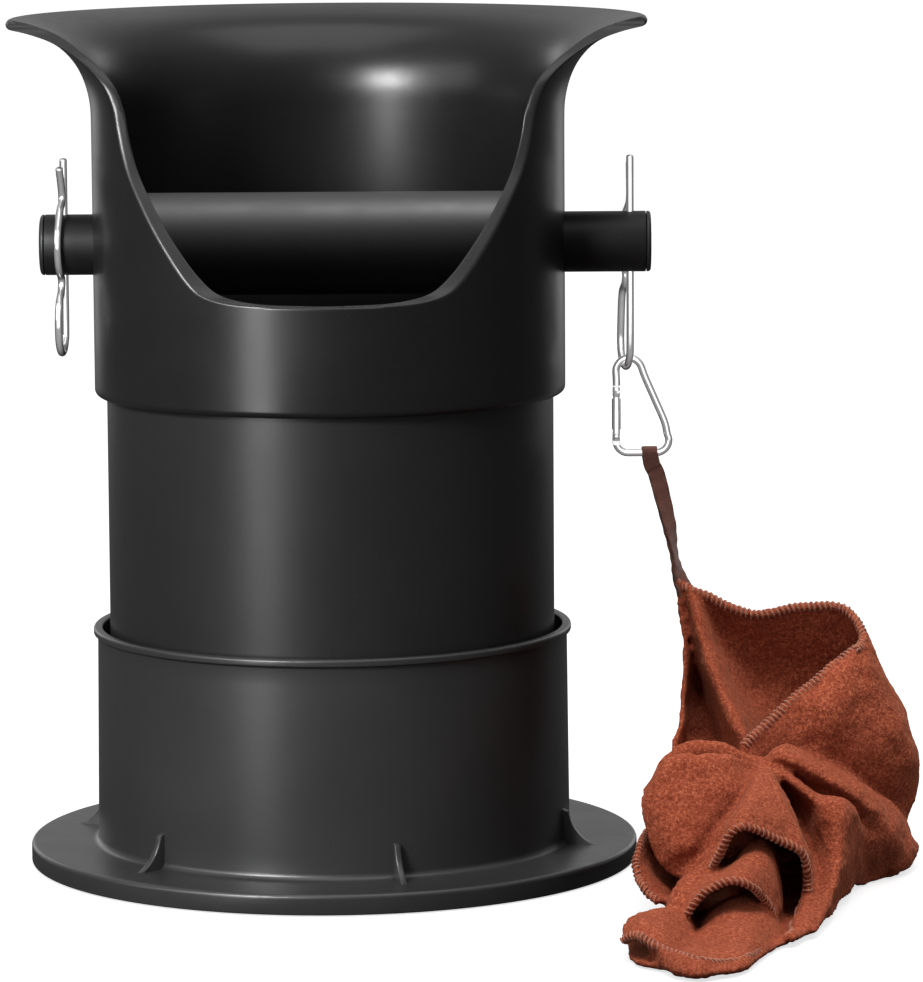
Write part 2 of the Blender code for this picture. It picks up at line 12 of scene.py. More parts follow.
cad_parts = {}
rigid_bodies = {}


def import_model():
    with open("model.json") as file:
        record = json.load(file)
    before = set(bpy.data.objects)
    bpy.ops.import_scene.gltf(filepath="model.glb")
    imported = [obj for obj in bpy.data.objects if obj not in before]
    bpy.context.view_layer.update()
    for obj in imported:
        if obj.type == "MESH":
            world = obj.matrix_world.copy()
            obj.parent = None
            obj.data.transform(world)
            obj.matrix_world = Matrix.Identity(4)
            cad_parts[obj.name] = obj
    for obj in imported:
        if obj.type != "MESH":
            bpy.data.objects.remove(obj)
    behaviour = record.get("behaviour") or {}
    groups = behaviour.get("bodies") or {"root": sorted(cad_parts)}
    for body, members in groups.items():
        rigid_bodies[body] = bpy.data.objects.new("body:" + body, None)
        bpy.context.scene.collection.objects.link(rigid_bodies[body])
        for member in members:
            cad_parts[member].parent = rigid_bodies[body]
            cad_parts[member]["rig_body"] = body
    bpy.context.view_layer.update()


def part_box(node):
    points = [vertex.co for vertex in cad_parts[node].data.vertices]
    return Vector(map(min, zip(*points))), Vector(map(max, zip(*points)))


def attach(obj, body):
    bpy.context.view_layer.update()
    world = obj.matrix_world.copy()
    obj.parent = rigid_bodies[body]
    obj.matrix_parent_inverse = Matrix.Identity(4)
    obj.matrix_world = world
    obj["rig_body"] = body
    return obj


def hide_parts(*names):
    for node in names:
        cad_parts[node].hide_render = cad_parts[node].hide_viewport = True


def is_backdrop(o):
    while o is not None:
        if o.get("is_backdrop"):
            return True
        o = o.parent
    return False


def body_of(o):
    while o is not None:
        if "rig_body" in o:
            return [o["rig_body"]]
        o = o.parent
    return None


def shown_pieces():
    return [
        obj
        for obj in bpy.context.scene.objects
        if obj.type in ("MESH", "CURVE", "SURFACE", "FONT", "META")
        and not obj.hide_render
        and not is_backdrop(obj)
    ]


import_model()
MM = 0.001
scene = bpy.context.scene


# ---- sizes read from the frame, millimetres ----------------------------------------
def mm_box(node):
    lo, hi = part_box(node)
    return [c / MM for c in lo], [c / MM for c in hi]


b_lo, b_hi = mm_box("base_flange")
p_lo, p_hi = mm_box("chute_pipe")
h_lo, h_hi = mm_box("hopper")
c_lo, c_hi = mm_box("knock_bar_core")
s_lo, s_hi = mm_box("knock_bar_sleeve")
pl_lo, pl_hi = mm_box("bar_end_plug_left")
pr_lo, pr_hi = mm_box("bar_end_plug_right")
cl_lo, cl_hi = mm_box("r_clip_left")
cr_lo, cr_hi = mm_box("r_clip_right")
ca_lo, ca_hi = mm_box("carabiner_body")
ga_lo, ga_hi = mm_box("carabiner_gate")

FLANGE_R, SOCKET_TOP = b_hi[0], b_hi[2]
PIPE_R, PIPE_LOW, PIPE_TOP = p_hi[0], p_lo[2], p_hi[2]
COLLAR_LOW = h_lo[2]
BAR_Z = (c_lo[2] + c_hi[2]) / 2
BAR_R = (c_hi[2] - c_lo[2]) / 2
SLEEVE_R, SLEEVE_HALF = (s_hi[2] - s_lo[2]) / 2, s_hi[0]
BAR_LEFT, BAR_RIGHT = pl_lo[0], pr_hi[0]
CARA_Y = (ca_lo[1] + ca_hi[1]) / 2

FLANGE_T, FLOOR_T = 7.3, 4.0
LIP_R, LIP_H, WALL_R_TOP, WALL_R_LOW = 86.0, 2.6, 84.5, 85.2
SOCKET_R, SEAT_R, SEAT_H = 82.7, 80.4, 16.0
RIB_FIRST_DEG, RIB_T, RIB_FOOT_R, RIB_TOP = -74.0, 2.3, 97.5, 20.0
COLLAR_R, COLLAR_BORE, THROAT_R, SHELL_T = 84.3, 80.35, 80.8, 3.5
STOP_LOW, STOP_TOP, STOP_R = 199.0, 201.5, 77.0
FLARE = [(84.3, 262.0), (84.5, 271.5), (85.8, 278.5), (87.9, 284.0), (90.5, 288.2),
         (94.4, 292.3), (99.2, 295.3), (106.2, 297.8), (112.6, 299.3)]
SWOOSH = [(-150.0, 206.5), (-88.0, 206.9), (-82.0, 207.3), (-77.0, 208.2), (-72.6, 210.6), (-69.2, 215.0),
          (-62.3, 227.4), (-54.6, 240.8), (-47.6, 253.0), (-43.2, 264.5),
          (-40.9, 274.0), (-37.8, 282.4), (-31.0, 289.0), (-22.5, 294.4),
          (-15.0, 299.2), (-11.8, 304.0), (-11.5, 330.0)]
BAR_BORE, BAR_HOLE_R = 8.85, 11.2
WIRE_R = 1.35
LEFT_CLIP_X, RIGHT_CLIP_X, CLIP_YAW_DEG = -94.6, 107.6, 7.5
CARA_R, GATE_R, GATE_X = 1.35, 1.6, 102.7


# ---- mesh helpers --------------------------------------------------------------------
def link(ob):
    scene.collection.objects.link(ob)
    return ob


def mesh_object(name, verts, faces, mat=None, smooth_angle=None):
    mesh = bpy.data.meshes.new(name)
    mesh.from_pydata([tuple(v) for v in verts], [], faces)
    mesh.validate()
    ob = link(bpy.data.objects.new(name, mesh))
    if mat is not None:
        mesh.materials.append(mat)
    mesh.shade_smooth()
    if smooth_angle:
        mesh.set_sharp_from_angle(angle=math.radians(smooth_angle))
    return ob


def fix_normals(ob):
    bm = bmesh.new()
    bm.from_mesh(ob.data)
    bmesh.ops.remove_doubles(bm, verts=bm.verts, dist=0.000002)
    bmesh.ops.recalc_face_normals(bm, faces=bm.faces)
    bm.to_mesh(ob.data)
    bm.free()
    return ob


def grid_faces(cols, rows, close_cols=True, close_rows=True, first=0):
    """Quads of a grid of cols x rows vertices, stored column by column."""
    out = []
    for i in range(cols if close_cols else cols - 1):
        a, b = first + i * rows, first + ((i + 1) % cols) * rows
        for j in range(rows if close_rows else rows - 1):
            k = (j + 1) % rows
            out.append((a + j, b + j, b + k, a + k))
    return out


def lathe(name, profile, mat, steps=288, closed=True, smooth_angle=40.0):
    """Body of revolution about Z from a (radius, z) profile in millimetres."""
    rows = len(profile)
    verts = []
    for i in range(steps):
        a = 2 * math.pi * i / steps
        c, s = math.cos(a), math.sin(a)
        verts += [(r * c * MM, r * s * MM, z * MM) for r, z in profile]
    ob = mesh_object(name, verts, grid_faces(steps, rows, True, closed), mat)
    fix_normals(ob)
    ob.data.shade_smooth()
    ob.data.set_sharp_from_angle(angle=math.radians(smooth_angle))
    return ob


def arc(cx, cz, r, a0, a1, n):
    return [(cx + r * math.cos(math.radians(a0 + (a1 - a0) * i / n)),
             cz + r * math.sin(math.radians(a0 + (a1 - a0) * i / n))) for i in range(n + 1)]


def spline(points, n):
    """Catmull-Rom curve through the points, n pieces a span; points may be 2D or 3D."""
    p = np.array(points, float)
    p = np.vstack([2 * p[0] - p[1], p, 2 * p[-1] - p[-2]])
    out = []
    for i in range(1, len(p) - 2):
        p0, p1, p2, p3 = p[i - 1:i + 3]
        for k in range(n):
            t = k / n
            out.append(0.5 * (2 * p1 + (p2 - p0) * t + (2 * p0 - 5 * p1 + 4 * p2 - p3) * t * t
                              + (3 * p1 - p0 - 3 * p2 + p3) * t ** 3))
    out.append(p[-2])
    return np.array(out)


def resample(points, n):
    """n points evenly spaced along a polyline."""
    p = np.array(points, float)
    d = np.concatenate([[0], np.cumsum(np.linalg.norm(np.diff(p, axis=0), axis=1))])
    t = np.linspace(0, d[-1], n)
    return np.stack([np.interp(t, d, p[:, k]) for k in range(p.shape[1])], 1)


def offset(points, distance):
    p = np.array(points, float)
    d = np.gradient(p, axis=0)
    d /= np.linalg.norm(d, axis=1)[:, None]
    return np.stack([p[:, 0] - d[:, 1] * distance, p[:, 1] + d[:, 0] * distance], 1)


def modifier_apply(ob):
    """Applies every modifier of the object."""
    bpy.context.view_layer.update()
    deps = bpy.context.evaluated_depsgraph_get()
    mesh = bpy.data.meshes.new_from_object(ob.evaluated_get(deps))
    old = ob.data
    ob.modifiers.clear()
    ob.data = mesh
    mesh.name = ob.name
    if old.users == 0:
        bpy.data.meshes.remove(old)
    return ob


def boolean(ob, tool, operation="DIFFERENCE"):
    mod = ob.modifiers.new("b", "BOOLEAN")
    mod.operation = operation
    mod.object = tool
    mod.solver = "EXACT"
    modifier_apply(ob)
    bpy.data.objects.remove(tool, do_unlink=True)
    return ob


def cone_tool(r1, r2, depth, centre, axis="X", sides=96):
    mesh = bpy.data.meshes.new("tool")
    bm = bmesh.new()
    bmesh.ops.create_cone(bm, cap_ends=True, segments=sides, radius1=r1 * MM, radius2=r2 * MM, depth=depth * MM)
    if axis == "X":
        bm.transform(Matrix.Rotation(math.radians(90), 4, "Y"))
    elif axis == "Y":
        bm.transform(Matrix.Rotation(math.radians(90), 4, "X"))
    bm.transform(Matrix.Translation(Vector(centre) * MM))
    bm.to_mesh(mesh)
    bm.free()
    return link(bpy.data.objects.new("tool", mesh))


def tube(name, points, radius, mat, sides=20, cyclic=False, radii=None, round_ends=True):
    """A round wire swept along a smooth polyline in millimetres, with parallel-transported rings."""
    p = np.array(points, float)
    n = len(p)
    if cyclic:
        t = np.roll(p, -1, 0) - np.roll(p, 1, 0)
    else:
        t = np.gradient(p, axis=0)
    t /= np.linalg.norm(t, axis=1)[:, None]
    ref = np.array([0.0, 1.0, 0.0])
    if abs(t[0] @ ref) > 0.9:
        ref = np.array([1.0, 0.0, 0.0])
    u = ref - t[0] * (ref @ t[0])
    u /= np.linalg.norm(u)
    rings, rad = [], (np.full(n, radius) if radii is None else np.array(radii, float))
    for i in range(n):
        u = u - t[i] * (u @ t[i])
        u /= np.linalg.norm(u)
        w = np.cross(t[i], u)
        a = np.linspace(0, 2 * np.pi, sides, endpoint=False)
        rings.append(p[i] + rad[i] * (np.cos(a)[:, None] * u + np.sin(a)[:, None] * w))
    if not cyclic and round_ends:
        def cap(i, sign):
            out = []
            for e in (0.35, 0.7, 0.92):
                c = p[i] + sign * t[i] * rad[i] * 0.55 * e
                s = math.sqrt(1 - e * e) * 0.55 + 0.45 * (1 - e ** 3)
                out.append(c + (rings[i] - p[i]) * s)
            return out
        rings = list(reversed(cap(0, -1))) + rings + cap(n - 1, 1)
    verts = np.vstack(rings) * MM
    m = len(rings)
    faces = grid_faces(m, sides, cyclic, True)
    if not cyclic:
        faces.append(tuple(range(sides)))
        faces.append(tuple(reversed(range((m - 1) * sides, m * sides))))
    ob = mesh_object(name, verts, faces, mat)
    fix_normals(ob)
    ob.data.shade_smooth()
    return ob


def put(ob, body, slot, *nodes):
    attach(ob, body)
    if nodes:
        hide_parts(*nodes)
    return ob


# ---- materials -------------------------------------------------------------------------
class Nodes:
    """Small helper to wire shader nodes."""

    def __init__(self, name):
        self.mat = bpy.data.materials.new(name)
        self.mat.use_nodes = True
        self.tree = self.mat.node_tree
        self.bsdf = self.tree.nodes["Principled BSDF"]
        self.coord = self.tree.nodes.new("ShaderNodeTexCoord")

    def node(self, kind, **values):
        n = self.tree.nodes.new(kind)
        for k, v in values.items():
            if hasattr(n, k):
                setattr(n, k, v)
            else:
                n.inputs[k.replace("_", " ")].default_value = v
        return n

    def link(self, a, b):
        self.tree.links.new(a, b)

    def noise(self, scale, detail=3.0, rough=0.55, stretch=None, distortion=0.0, source=None):
        n = self.node("ShaderNodeTexNoise")
        n.inputs["Scale"].default_value = scale
        n.inputs["Detail"].default_value = detail
        n.inputs["Roughness"].default_value = rough
        n.inputs["Distortion"].default_value = distortion
        src = source or self.coord.outputs["Object"]
        if stretch:
            m = self.node("ShaderNodeMapping")
            m.inputs["Scale"].default_value = stretch
            self.link(src, m.inputs["Vector"])
            src = m.outputs["Vector"]
        self.link(src, n.inputs["Vector"])
        return n.outputs["Fac"]

    def ramp(self, fac, stops):
        r = self.node("ShaderNodeValToRGB")
        e = r.color_ramp.elements
        while len(e) < len(stops):
            e.new(0.5)
        for k, (pos, col) in enumerate(stops):
            e[k].position = pos
            e[k].color = (*col, 1.0) if len(col) == 3 else col
        self.link(fac, r.inputs["Fac"])
        return r.outputs["Color"]

    def range(self, fac, a, b, c, d):
        m = self.node("ShaderNodeMapRange")
        for k, v in zip(("From Min", "From Max", "To Min", "To Max"), (a, b, c, d)):
            m.inputs[k].default_value = v
        self.link(fac, m.inputs["Value"])
        return m.outputs["Result"]

    def math(self, op, a, b=None):
        m = self.node("ShaderNodeMath")
        m.operation = op
        for k, v in enumerate((a, b)):
            if v is None:
                continue
            if isinstance(v, (int, float)):
                m.inputs[k].default_value = v
            else:
                self.link(v, m.inputs[k])
        return m.outputs["Value"]

    def mix(self, fac, a, b):
        m = self.node("ShaderNodeMix", data_type="RGBA")
        for k, v in ((0, fac), (6, a), (7, b)):
            if isinstance(v, (int, float)):
                m.inputs[k].default_value = v
            elif isinstance(v, tuple):
                m.inputs[k].default_value = (*v, 1.0)
            else:
                self.link(v, m.inputs[k])
        return m.outputs[2]

    def bump(self, height, strength, distance, normal=None):
        b = self.node("ShaderNodeBump")
        b.inputs["Strength"].default_value = strength
        b.inputs["Distance"].default_value = distance
        self.link(height, b.inputs["Height"])
        if normal is not None:
            self.link(normal, b.inputs["Normal"])
        return b.outputs["Normal"]


def black_plastic(name, tone, rough, grain=1.0, brushed=None, spec=0.5, edge=0.6):
    """Satin moulded plastic: soft tone clouds, fine grain, faint handling marks and paler rubbed edges."""
    n = Nodes(name)
    clouds = n.noise(9.0, 4.0, 0.6)
    base = n.ramp(clouds, [(0.3, tuple(c * 0.82 for c in tone)), (0.7, tuple(c * 1.22 for c in tone))])
    specks = n.noise(900.0, 2.0, 0.5)
    base = n.mix(n.range(specks, 0.66, 0.78, 0.0, 0.35), base, tuple(min(1.0, c * 2.6 + 0.01) for c in tone))
    geo = n.node("ShaderNodeNewGeometry")
    worn = n.range(geo.outputs["Pointiness"], 0.515, 0.57, 0.0, edge)
    patch = n.range(n.noise(60.0, 3.0), 0.4, 0.7, 0.15, 1.0)
    worn = n.math("MULTIPLY", worn, patch)
    base = n.mix(worn, base, tuple(min(1.0, c * 3.0 + 0.02) for c in tone))
    n.link(base, n.bsdf.inputs["Base Color"])
    r = n.range(n.noise(22.0, 5.0, 0.65), 0.3, 0.75, rough - 0.035, rough + 0.05)
    marks = n.noise(55.0, 3.0, 0.7, stretch=(1.0, 1.0, 9.0) if brushed is None else brushed)
    r = n.math("ADD", r, n.range(marks, 0.62, 0.8, 0.0, 0.05))
    n.link(r, n.bsdf.inputs["Roughness"])
    fine = n.noise(1500.0, 2.0, 0.5)
    mid = n.noise(240.0, 2.0, 0.5)
    wave = n.noise(16.0, 2.0, 0.5)
    normal = n.bump(wave, 0.10, 0.0012)
    normal = n.bump(mid, 0.05 * grain, 0.0004, normal)
    normal = n.bump(fine, 0.12 * grain, 0.0001, normal)
    n.link(normal, n.bsdf.inputs["Normal"])
    n.bsdf.inputs["Specular IOR Level"].default_value = spec
    n.mat.diffuse_color = (*tone, 1.0)
    return n.mat


def rubber(name, tone, rough):
    """Soft synthetic rubber: dull sheen, fine sandy texture, slight scuffs."""
    n = Nodes(name)
    clouds = n.noise(14.0, 5.0, 0.62)
    base = n.ramp(clouds, [(0.28, tuple(c * 0.8 for c in tone)), (0.72, tuple(c * 1.3 for c in tone))])
    scuff = n.noise(120.0, 4.0, 0.7, stretch=(0.35, 1.0, 1.0))
    base = n.mix(n.range(scuff, 0.60, 0.78, 0.0, 0.3), base, tuple(c * 2.0 + 0.012 for c in tone))
    n.link(base, n.bsdf.inputs["Base Color"])
    n.link(n.range(n.noise(35.0, 4.0), 0.3, 0.7, rough - 0.05, rough + 0.06), n.bsdf.inputs["Roughness"])
    normal = n.bump(n.noise(1900.0, 2.0), 0.25, 0.00012)
    normal = n.bump(n.noise(45.0, 3.0), 0.06, 0.0006, normal)
    n.link(normal, n.bsdf.inputs["Normal"])
    n.bsdf.inputs["Sheen Weight"].default_value = 0.08
    n.mat.diffuse_color = (*tone, 1.0)
    return n.mat


def steel(name, tone, rough, drawn=(1.0, 1.0, 0.05)):
    """Bright plated wire: drawing lines along the wire, small dulled spots, and a painted white glow where the wire
    faces the camera.
    """
    n = Nodes(name)
    spots = n.noise(420.0, 3.0, 0.6)
    base = n.ramp(spots, [(0.35, tuple(c * 0.86 for c in tone)), (0.6, tone)])
    n.link(base, n.bsdf.inputs["Base Color"])
    n.bsdf.inputs["Metallic"].default_value = 1.0
    lines = n.noise(1800.0, 2.0, 0.5, stretch=drawn)
    r = n.range(lines, 0.3, 0.7, rough * 0.7, rough * 1.5)
    r = n.math("ADD", r, n.range(spots, 0.62, 0.75, 0.0, 0.12))
    n.link(r, n.bsdf.inputs["Roughness"])
    n.link(n.bump(lines, 0.04, 0.00004), n.bsdf.inputs["Normal"])
    # painted glow: white emission where the wire faces the camera, fading to none at its edges, a painted highlight
    # that lightens the whole wire body
    rim = n.node("ShaderNodeLayerWeight")
    rim.inputs["Blend"].default_value = 0.5
    n.link(n.range(rim.outputs["Facing"], 0.10, 0.60, 0.26, 0.0), n.bsdf.inputs["Emission Strength"])
    n.bsdf.inputs["Emission Color"].default_value = (1.0, 1.0, 1.0, 1.0)
    n.mat.diffuse_color = (*tone, 1.0)
    return n.mat


M_HOPPER = black_plastic("hopper_black", (0.0085, 0.0085, 0.0088), 0.31)
M_PIPE = black_plastic("pipe_black", (0.0140, 0.0140, 0.0143), 0.38, grain=0.7, brushed=(6.0, 6.0, 0.6), edge=0.3)
M_BASE = black_plastic("base_black", (0.0250, 0.0250, 0.0255), 0.35, spec=0.66)
M_BAR = black_plastic("bar_black", (0.0065, 0.0065, 0.0070), 0.46, grain=0.8, brushed=(0.6, 6.0, 6.0), spec=0.3)
M_PLUG = black_plastic("plug_black", (0.0170, 0.0170, 0.0175), 0.45)
M_RUBBER = rubber("sleeve_rubber", (0.0200, 0.0200, 0.0206), 0.50)
M_CLIP = steel("clip_steel", (0.83, 0.83, 0.84), 0.10)
M_CARA = steel("carabiner_steel", (0.86, 0.86, 0.87), 0.08)


# ---- foot: floor, flange, socket, lip and six gussets ------------------------------------
def rib_tool(angle):
    sag = [(min(x, RIB_FOOT_R), z) for x, z in arc(RIB_FOOT_R + 4.0, RIB_TOP + 1.0, 14.6, 183, 262, 18)]
    outline = [(83.2, RIB_TOP + 0.4), (84.9, RIB_TOP)] + sag[1:] + [(RIB_FOOT_R, 5.6), (83.2, 5.6)]
    mesh = bpy.data.meshes.new("tool")
    bm = bmesh.new()
    verts = [bm.verts.new((x * MM, -RIB_T / 2 * MM, z * MM)) for x, z in outline]
    face = bm.faces.new(verts)
    done = bmesh.ops.extrude_face_region(bm, geom=[face])
    bmesh.ops.translate(bm, verts=[g for g in done["geom"] if isinstance(g, bmesh.types.BMVert)],
                        vec=Vector((0, RIB_T * MM, 0)))
    bmesh.ops.recalc_face_normals(bm, faces=bm.faces)
    side = [e for e in bm.edges if abs(e.verts[0].co.y - e.verts[1].co.y) < 1e-7 and len(e.link_faces) == 2]
    bmesh.ops.bevel(bm, geom=side, offset=0.55 * MM, segments=3, affect="EDGES", profile=0.5)
    bm.transform(Matrix.Rotation(angle, 4, "Z"))
    bm.to_mesh(mesh)
    bm.free()
    return link(bpy.data.objects.new("tool", mesh))


def base_mesh():
    p = [(0.01, FLOOR_T), (30.0, FLOOR_T), (60.0, FLOOR_T)] + arc(SEAT_R - 1.2, FLOOR_T + 1.2, 1.2, -90, 0, 5)
    p += [(SEAT_R, SEAT_H)] + [(SOCKET_R, SEAT_H + 4.0), (SOCKET_R, 50.0)]
    p += arc(SOCKET_R + 0.9, SOCKET_TOP - 0.9, 0.9, 180, 90, 6)
    p += arc(LIP_R - 1.0, SOCKET_TOP - 1.0, 1.0, 90, 0, 6)
    p += arc(LIP_R - 0.5, SOCKET_TOP - LIP_H + 0.5, 0.5, 0, -80, 4)
    p += [(WALL_R_TOP + 0.5, SOCKET_TOP - LIP_H - 0.05), (WALL_R_TOP + 0.12, SOCKET_TOP - LIP_H - 0.35),
          (WALL_R_TOP, SOCKET_TOP - LIP_H - 1.0)]
    for k in range(1, 12):
        t = k / 12
        p.append((WALL_R_TOP + (WALL_R_LOW - WALL_R_TOP) * t,
                  SOCKET_TOP - LIP_H - 1.0 + (FLANGE_T + 2.5 - SOCKET_TOP + LIP_H + 1.0) * t))
    p += arc(WALL_R_LOW + 2.5, FLANGE_T + 2.5, 2.5, 180, 270, 10)
    p += [(95.0, FLANGE_T), (102.0, FLANGE_T)]
    p += arc(FLANGE_R - 1.7, FLANGE_T - 1.7, 1.7, 90, 0, 8)
    p += arc(FLANGE_R - 0.7, 0.7, 0.7, 0, -90, 4)
    p += [(80.0, 0.0), (40.0, 0.0), (0.01, 0.0)]
    ob = lathe("foot_body", p, M_BASE, steps=320, closed=True)
    for i in range(6):
        boolean(ob, rib_tool(math.radians(RIB_FIRST_DEG + 60.0 * i)), "UNION")
    ob.data.shade_smooth()
    ob.data.set_sharp_from_angle(angle=math.radians(38))
    return ob


foot = put(base_mesh(), "foot", "base_black", "base_flange")

# ---- pipe ----------------------------------------------------------------------------------
pin = PIPE_R - 4.0
prof = [(pin, PIPE_LOW + 0.6)] + [(pin, PIPE_LOW + (PIPE_TOP - PIPE_LOW) * k / 12) for k in range(1, 12)] + \
       arc(pin + 0.6, PIPE_TOP - 0.6, 0.6, 180, 90, 3) + arc(PIPE_R - 1.0, PIPE_TOP - 1.0, 1.0, 90, 0, 4) + \
       [(PIPE_R, PIPE_TOP - (PIPE_TOP - PIPE_LOW) * k / 16) for k in range(1, 16)] + \
       arc(PIPE_R - 1.0, PIPE_LOW + 1.0, 1.0, 0, -90, 4)
pipe = put(lathe("chute_pipe_wall", prof, M_PIPE, steps=320), "pipe", "pipe_black", "chute_pipe")


# ---- hopper ----------------------------------------------------------------------------------
def hopper_mesh():
    """Columns of the wall's section, one for each angle from the front. Where the front is cut away
    a column runs up the outside to the cut, over the rounded cut face and down the inside."""
    side = spline(SWOOSH, 12)
    outer = np.vstack([[(COLLAR_R, z) for z in np.linspace(COLLAR_LOW + 2.4, 258.0, 40)], spline(FLARE, 8)])
    inner = offset(spline(FLARE, 8), SHELL_T)
    inner = np.vstack([[(THROAT_R, z) for z in np.linspace(STOP_TOP + 2.0, 258.0, 30)], inner])
    d = outer[-1] - outer[-2]
    d /= np.linalg.norm(d)
    c = outer[-1] + np.array([-d[1], d[0]]) * SHELL_T / 2
    a0 = math.degrees(math.atan2(-d[0], d[1]))
    tip = np.array(arc(c[0], c[1], SHELL_T / 2, a0, a0 + 180, 16))
    if tip[8][0] < c[0]:
        tip = np.array(arc(c[0], c[1], SHELL_T / 2, a0, a0 - 180, 16))
    over = np.vstack([outer, tip[1:-1], inner[::-1]])          # outside up, tip, inside down
    s = np.concatenate([[0], np.cumsum(np.linalg.norm(np.diff(over, axis=0), axis=1))])
    fine_s = np.linspace(0, s[-1], 6000)
    fine = np.stack([np.interp(fine_s, s, over[:, k]) for k in (0, 1)], 1)
    s_tip0, s_tip1 = s[len(outer) - 1], s[len(outer) + 15]

    def at(u):
        return np.stack([np.interp(u, fine_s, fine[:, k]) for k in (0, 1)], -1)

    def crossing(phi):
        y = -fine[:, 0] * math.cos(phi)
        g = fine[:, 1] - np.interp(y, side[:, 0], side[:, 1])
        bad = np.where(g > 0)[0]
        if len(bad) == 0:
            return None
        i, k = bad[0], bad[-1]
        u1 = fine_s[i - 1] + (fine_s[i] - fine_s[i - 1]) * (-g[i - 1]) / (g[i] - g[i - 1])
        u2 = fine_s[k] + (fine_s[k + 1] - fine_s[k]) * g[k] / (g[k] - g[k + 1])
        return u1, u2

    # angles: even steps along the cut edge, then even steps round the back
    probe = np.linspace(0, math.radians(89.0), 900)
    edge, last = [], 0
    for k, phi in enumerate(probe):
        x = crossing(phi)
        if x is None:
            break
        r, z = at(x[0])
        edge.append((r * math.cos(phi), r * math.sin(phi), z))
        last = k
    edge = np.array(edge)
    length = np.concatenate([[0], np.cumsum(np.linalg.norm(np.diff(edge, axis=0), axis=1))])
    half = np.interp(np.linspace(0, length[-1], 190), length, probe[:last + 1])
    half = half[half < math.radians(86)]
    back = np.linspace(half[-1], math.pi, 122)[1:]
    phis = np.concatenate([half, back])
    phis = np.concatenate([phis, 2 * math.pi - phis[1:-1][::-1]])

    n_out, n_face, n_in, n_fil = 96, 7, 84, 6
    columns = []
    marks = [crossing(min(p, 2 * math.pi - p)) for p in phis]
    for k, phi in enumerate(phis):
        m = marks[k]
        if m is None:
            u1, u2 = s_tip0, s_tip1
            face = at(np.linspace(u1, u2, 40))
            slope = 1.0
        else:
            u1, u2 = m
            r1, r2 = at(u1)[0], at(u2)[0]
            q = np.linspace(0, 1, 40)
            c1, c2 = at(u1), at(u2)
            fr = c1[0] + (c2[0] - c1[0]) * q
            fz = np.interp(-fr * math.cos(phi), side[:, 0], side[:, 1])
            if abs(c2[0] - c1[0]) < 1.2:
                fz = c1[1] + (c2[1] - c1[1]) * q
            face = np.stack([fr, fz], 1)
            e = 0.004
            x1 = crossing(abs(min(phi, 2 * math.pi - phi)) + e)
            x0 = crossing(max(0.0, min(phi, 2 * math.pi - phi) - e))
            if x1 is None or x0 is None:
                slope = 1.5
            else:
                a, b = at(x0[0]), at(x1[0])
                slope = math.sqrt(1 + ((b[1] - a[1]) / (2 * e * a[0])) ** 2)
        slope = min(slope, 3.2)
        fl = np.concatenate([[0], np.cumsum(np.linalg.norm(np.diff(face, axis=0), axis=1))])
        a_len = 0.85 * slope
        b_len = min(0.40 * fl[-1], 0.85 * slope)

        def face_at(dist):
            return np.array([np.interp(dist, fl, face[:, j]) for j in (0, 1)])

        def fillet(A, C, B):
            t = np.linspace(0, 1, n_fil + 1)[:, None]
            return (1 - t) ** 2 * A + 2 * t * (1 - t) * C + t * t * B

        o = at(np.linspace(0, u1 - a_len, n_out))
        f1 = fillet(at(u1 - a_len), face[0], face_at(b_len))[1:]
        ff = np.array([face_at(x) for x in np.linspace(b_len, fl[-1] - b_len, n_face)])[1:]
        f2 = fillet(face_at(fl[-1] - b_len), face[-1], at(u2 + a_len))[1:]
        if m is None:
            f1 = np.array([at(u1 - a_len + (a_len + b_len) * t) for t in np.linspace(0, 1, n_fil + 1)])[1:]
            f2 = np.array([at(u2 - b_len + (a_len + b_len) * t) for t in np.linspace(0, 1, n_fil + 1)])[1:]
        i_ = at(np.linspace(u2 + a_len, fine_s[-1], n_in))[1:]
        low = [(STOP_R + 0.6, STOP_TOP + 0.4), (STOP_R, STOP_TOP - 0.2), (STOP_R, STOP_LOW), (COLLAR_BORE, STOP_LOW),
               (COLLAR_BORE, 185.0), (COLLAR_BORE, COLLAR_LOW + 0.6), (COLLAR_BORE + 0.5, COLLAR_LOW)]
        low += arc(COLLAR_R - 2.4, COLLAR_LOW + 2.4, 2.4, -90, 0, 8)[:-1]
        col = np.vstack([o, f1, ff, f2, i_, low])
        columns.append(np.stack([col[:, 0] * math.sin(phi), -col[:, 0] * math.cos(phi), col[:, 1]], 1))
    rows = len(columns[0])
    verts = np.vstack(columns) * MM
    ob = mesh_object("hopper_shell", verts, grid_faces(len(columns), rows, True, True), M_HOPPER)
    fix_normals(ob)
    for sx in (-1, 1):
        boolean(ob, cone_tool(BAR_HOLE_R, BAR_HOLE_R, 40.0, (sx * 85.0, 0, BAR_Z)))
        boolean(ob, cone_tool(BAR_HOLE_R + (0.9 if sx < 0 else 0.0), BAR_HOLE_R + (0.9 if sx > 0 else 0.0), 2.0,
                              (sx * (COLLAR_R - 0.2 + 0.35), 0, BAR_Z)))
    ob.data.shade_smooth()
    ob.data.set_sharp_from_angle(angle=math.radians(42))
    return ob


hopper = put(hopper_mesh(), "hopper_head", "hopper_black", "hopper")


# ---- knock bar ---------------------------------------------------------------------------------
def lay_x(ob, x=0.0, sign=1.0):
    """Turns a body of revolution about Z so that its axis lies along X at the bar's height."""
    ob.data.transform(Matrix.Translation((x * MM, 0, BAR_Z * MM)) @ Matrix.Rotation(math.radians(90 * sign), 4, "Y"))
    return ob


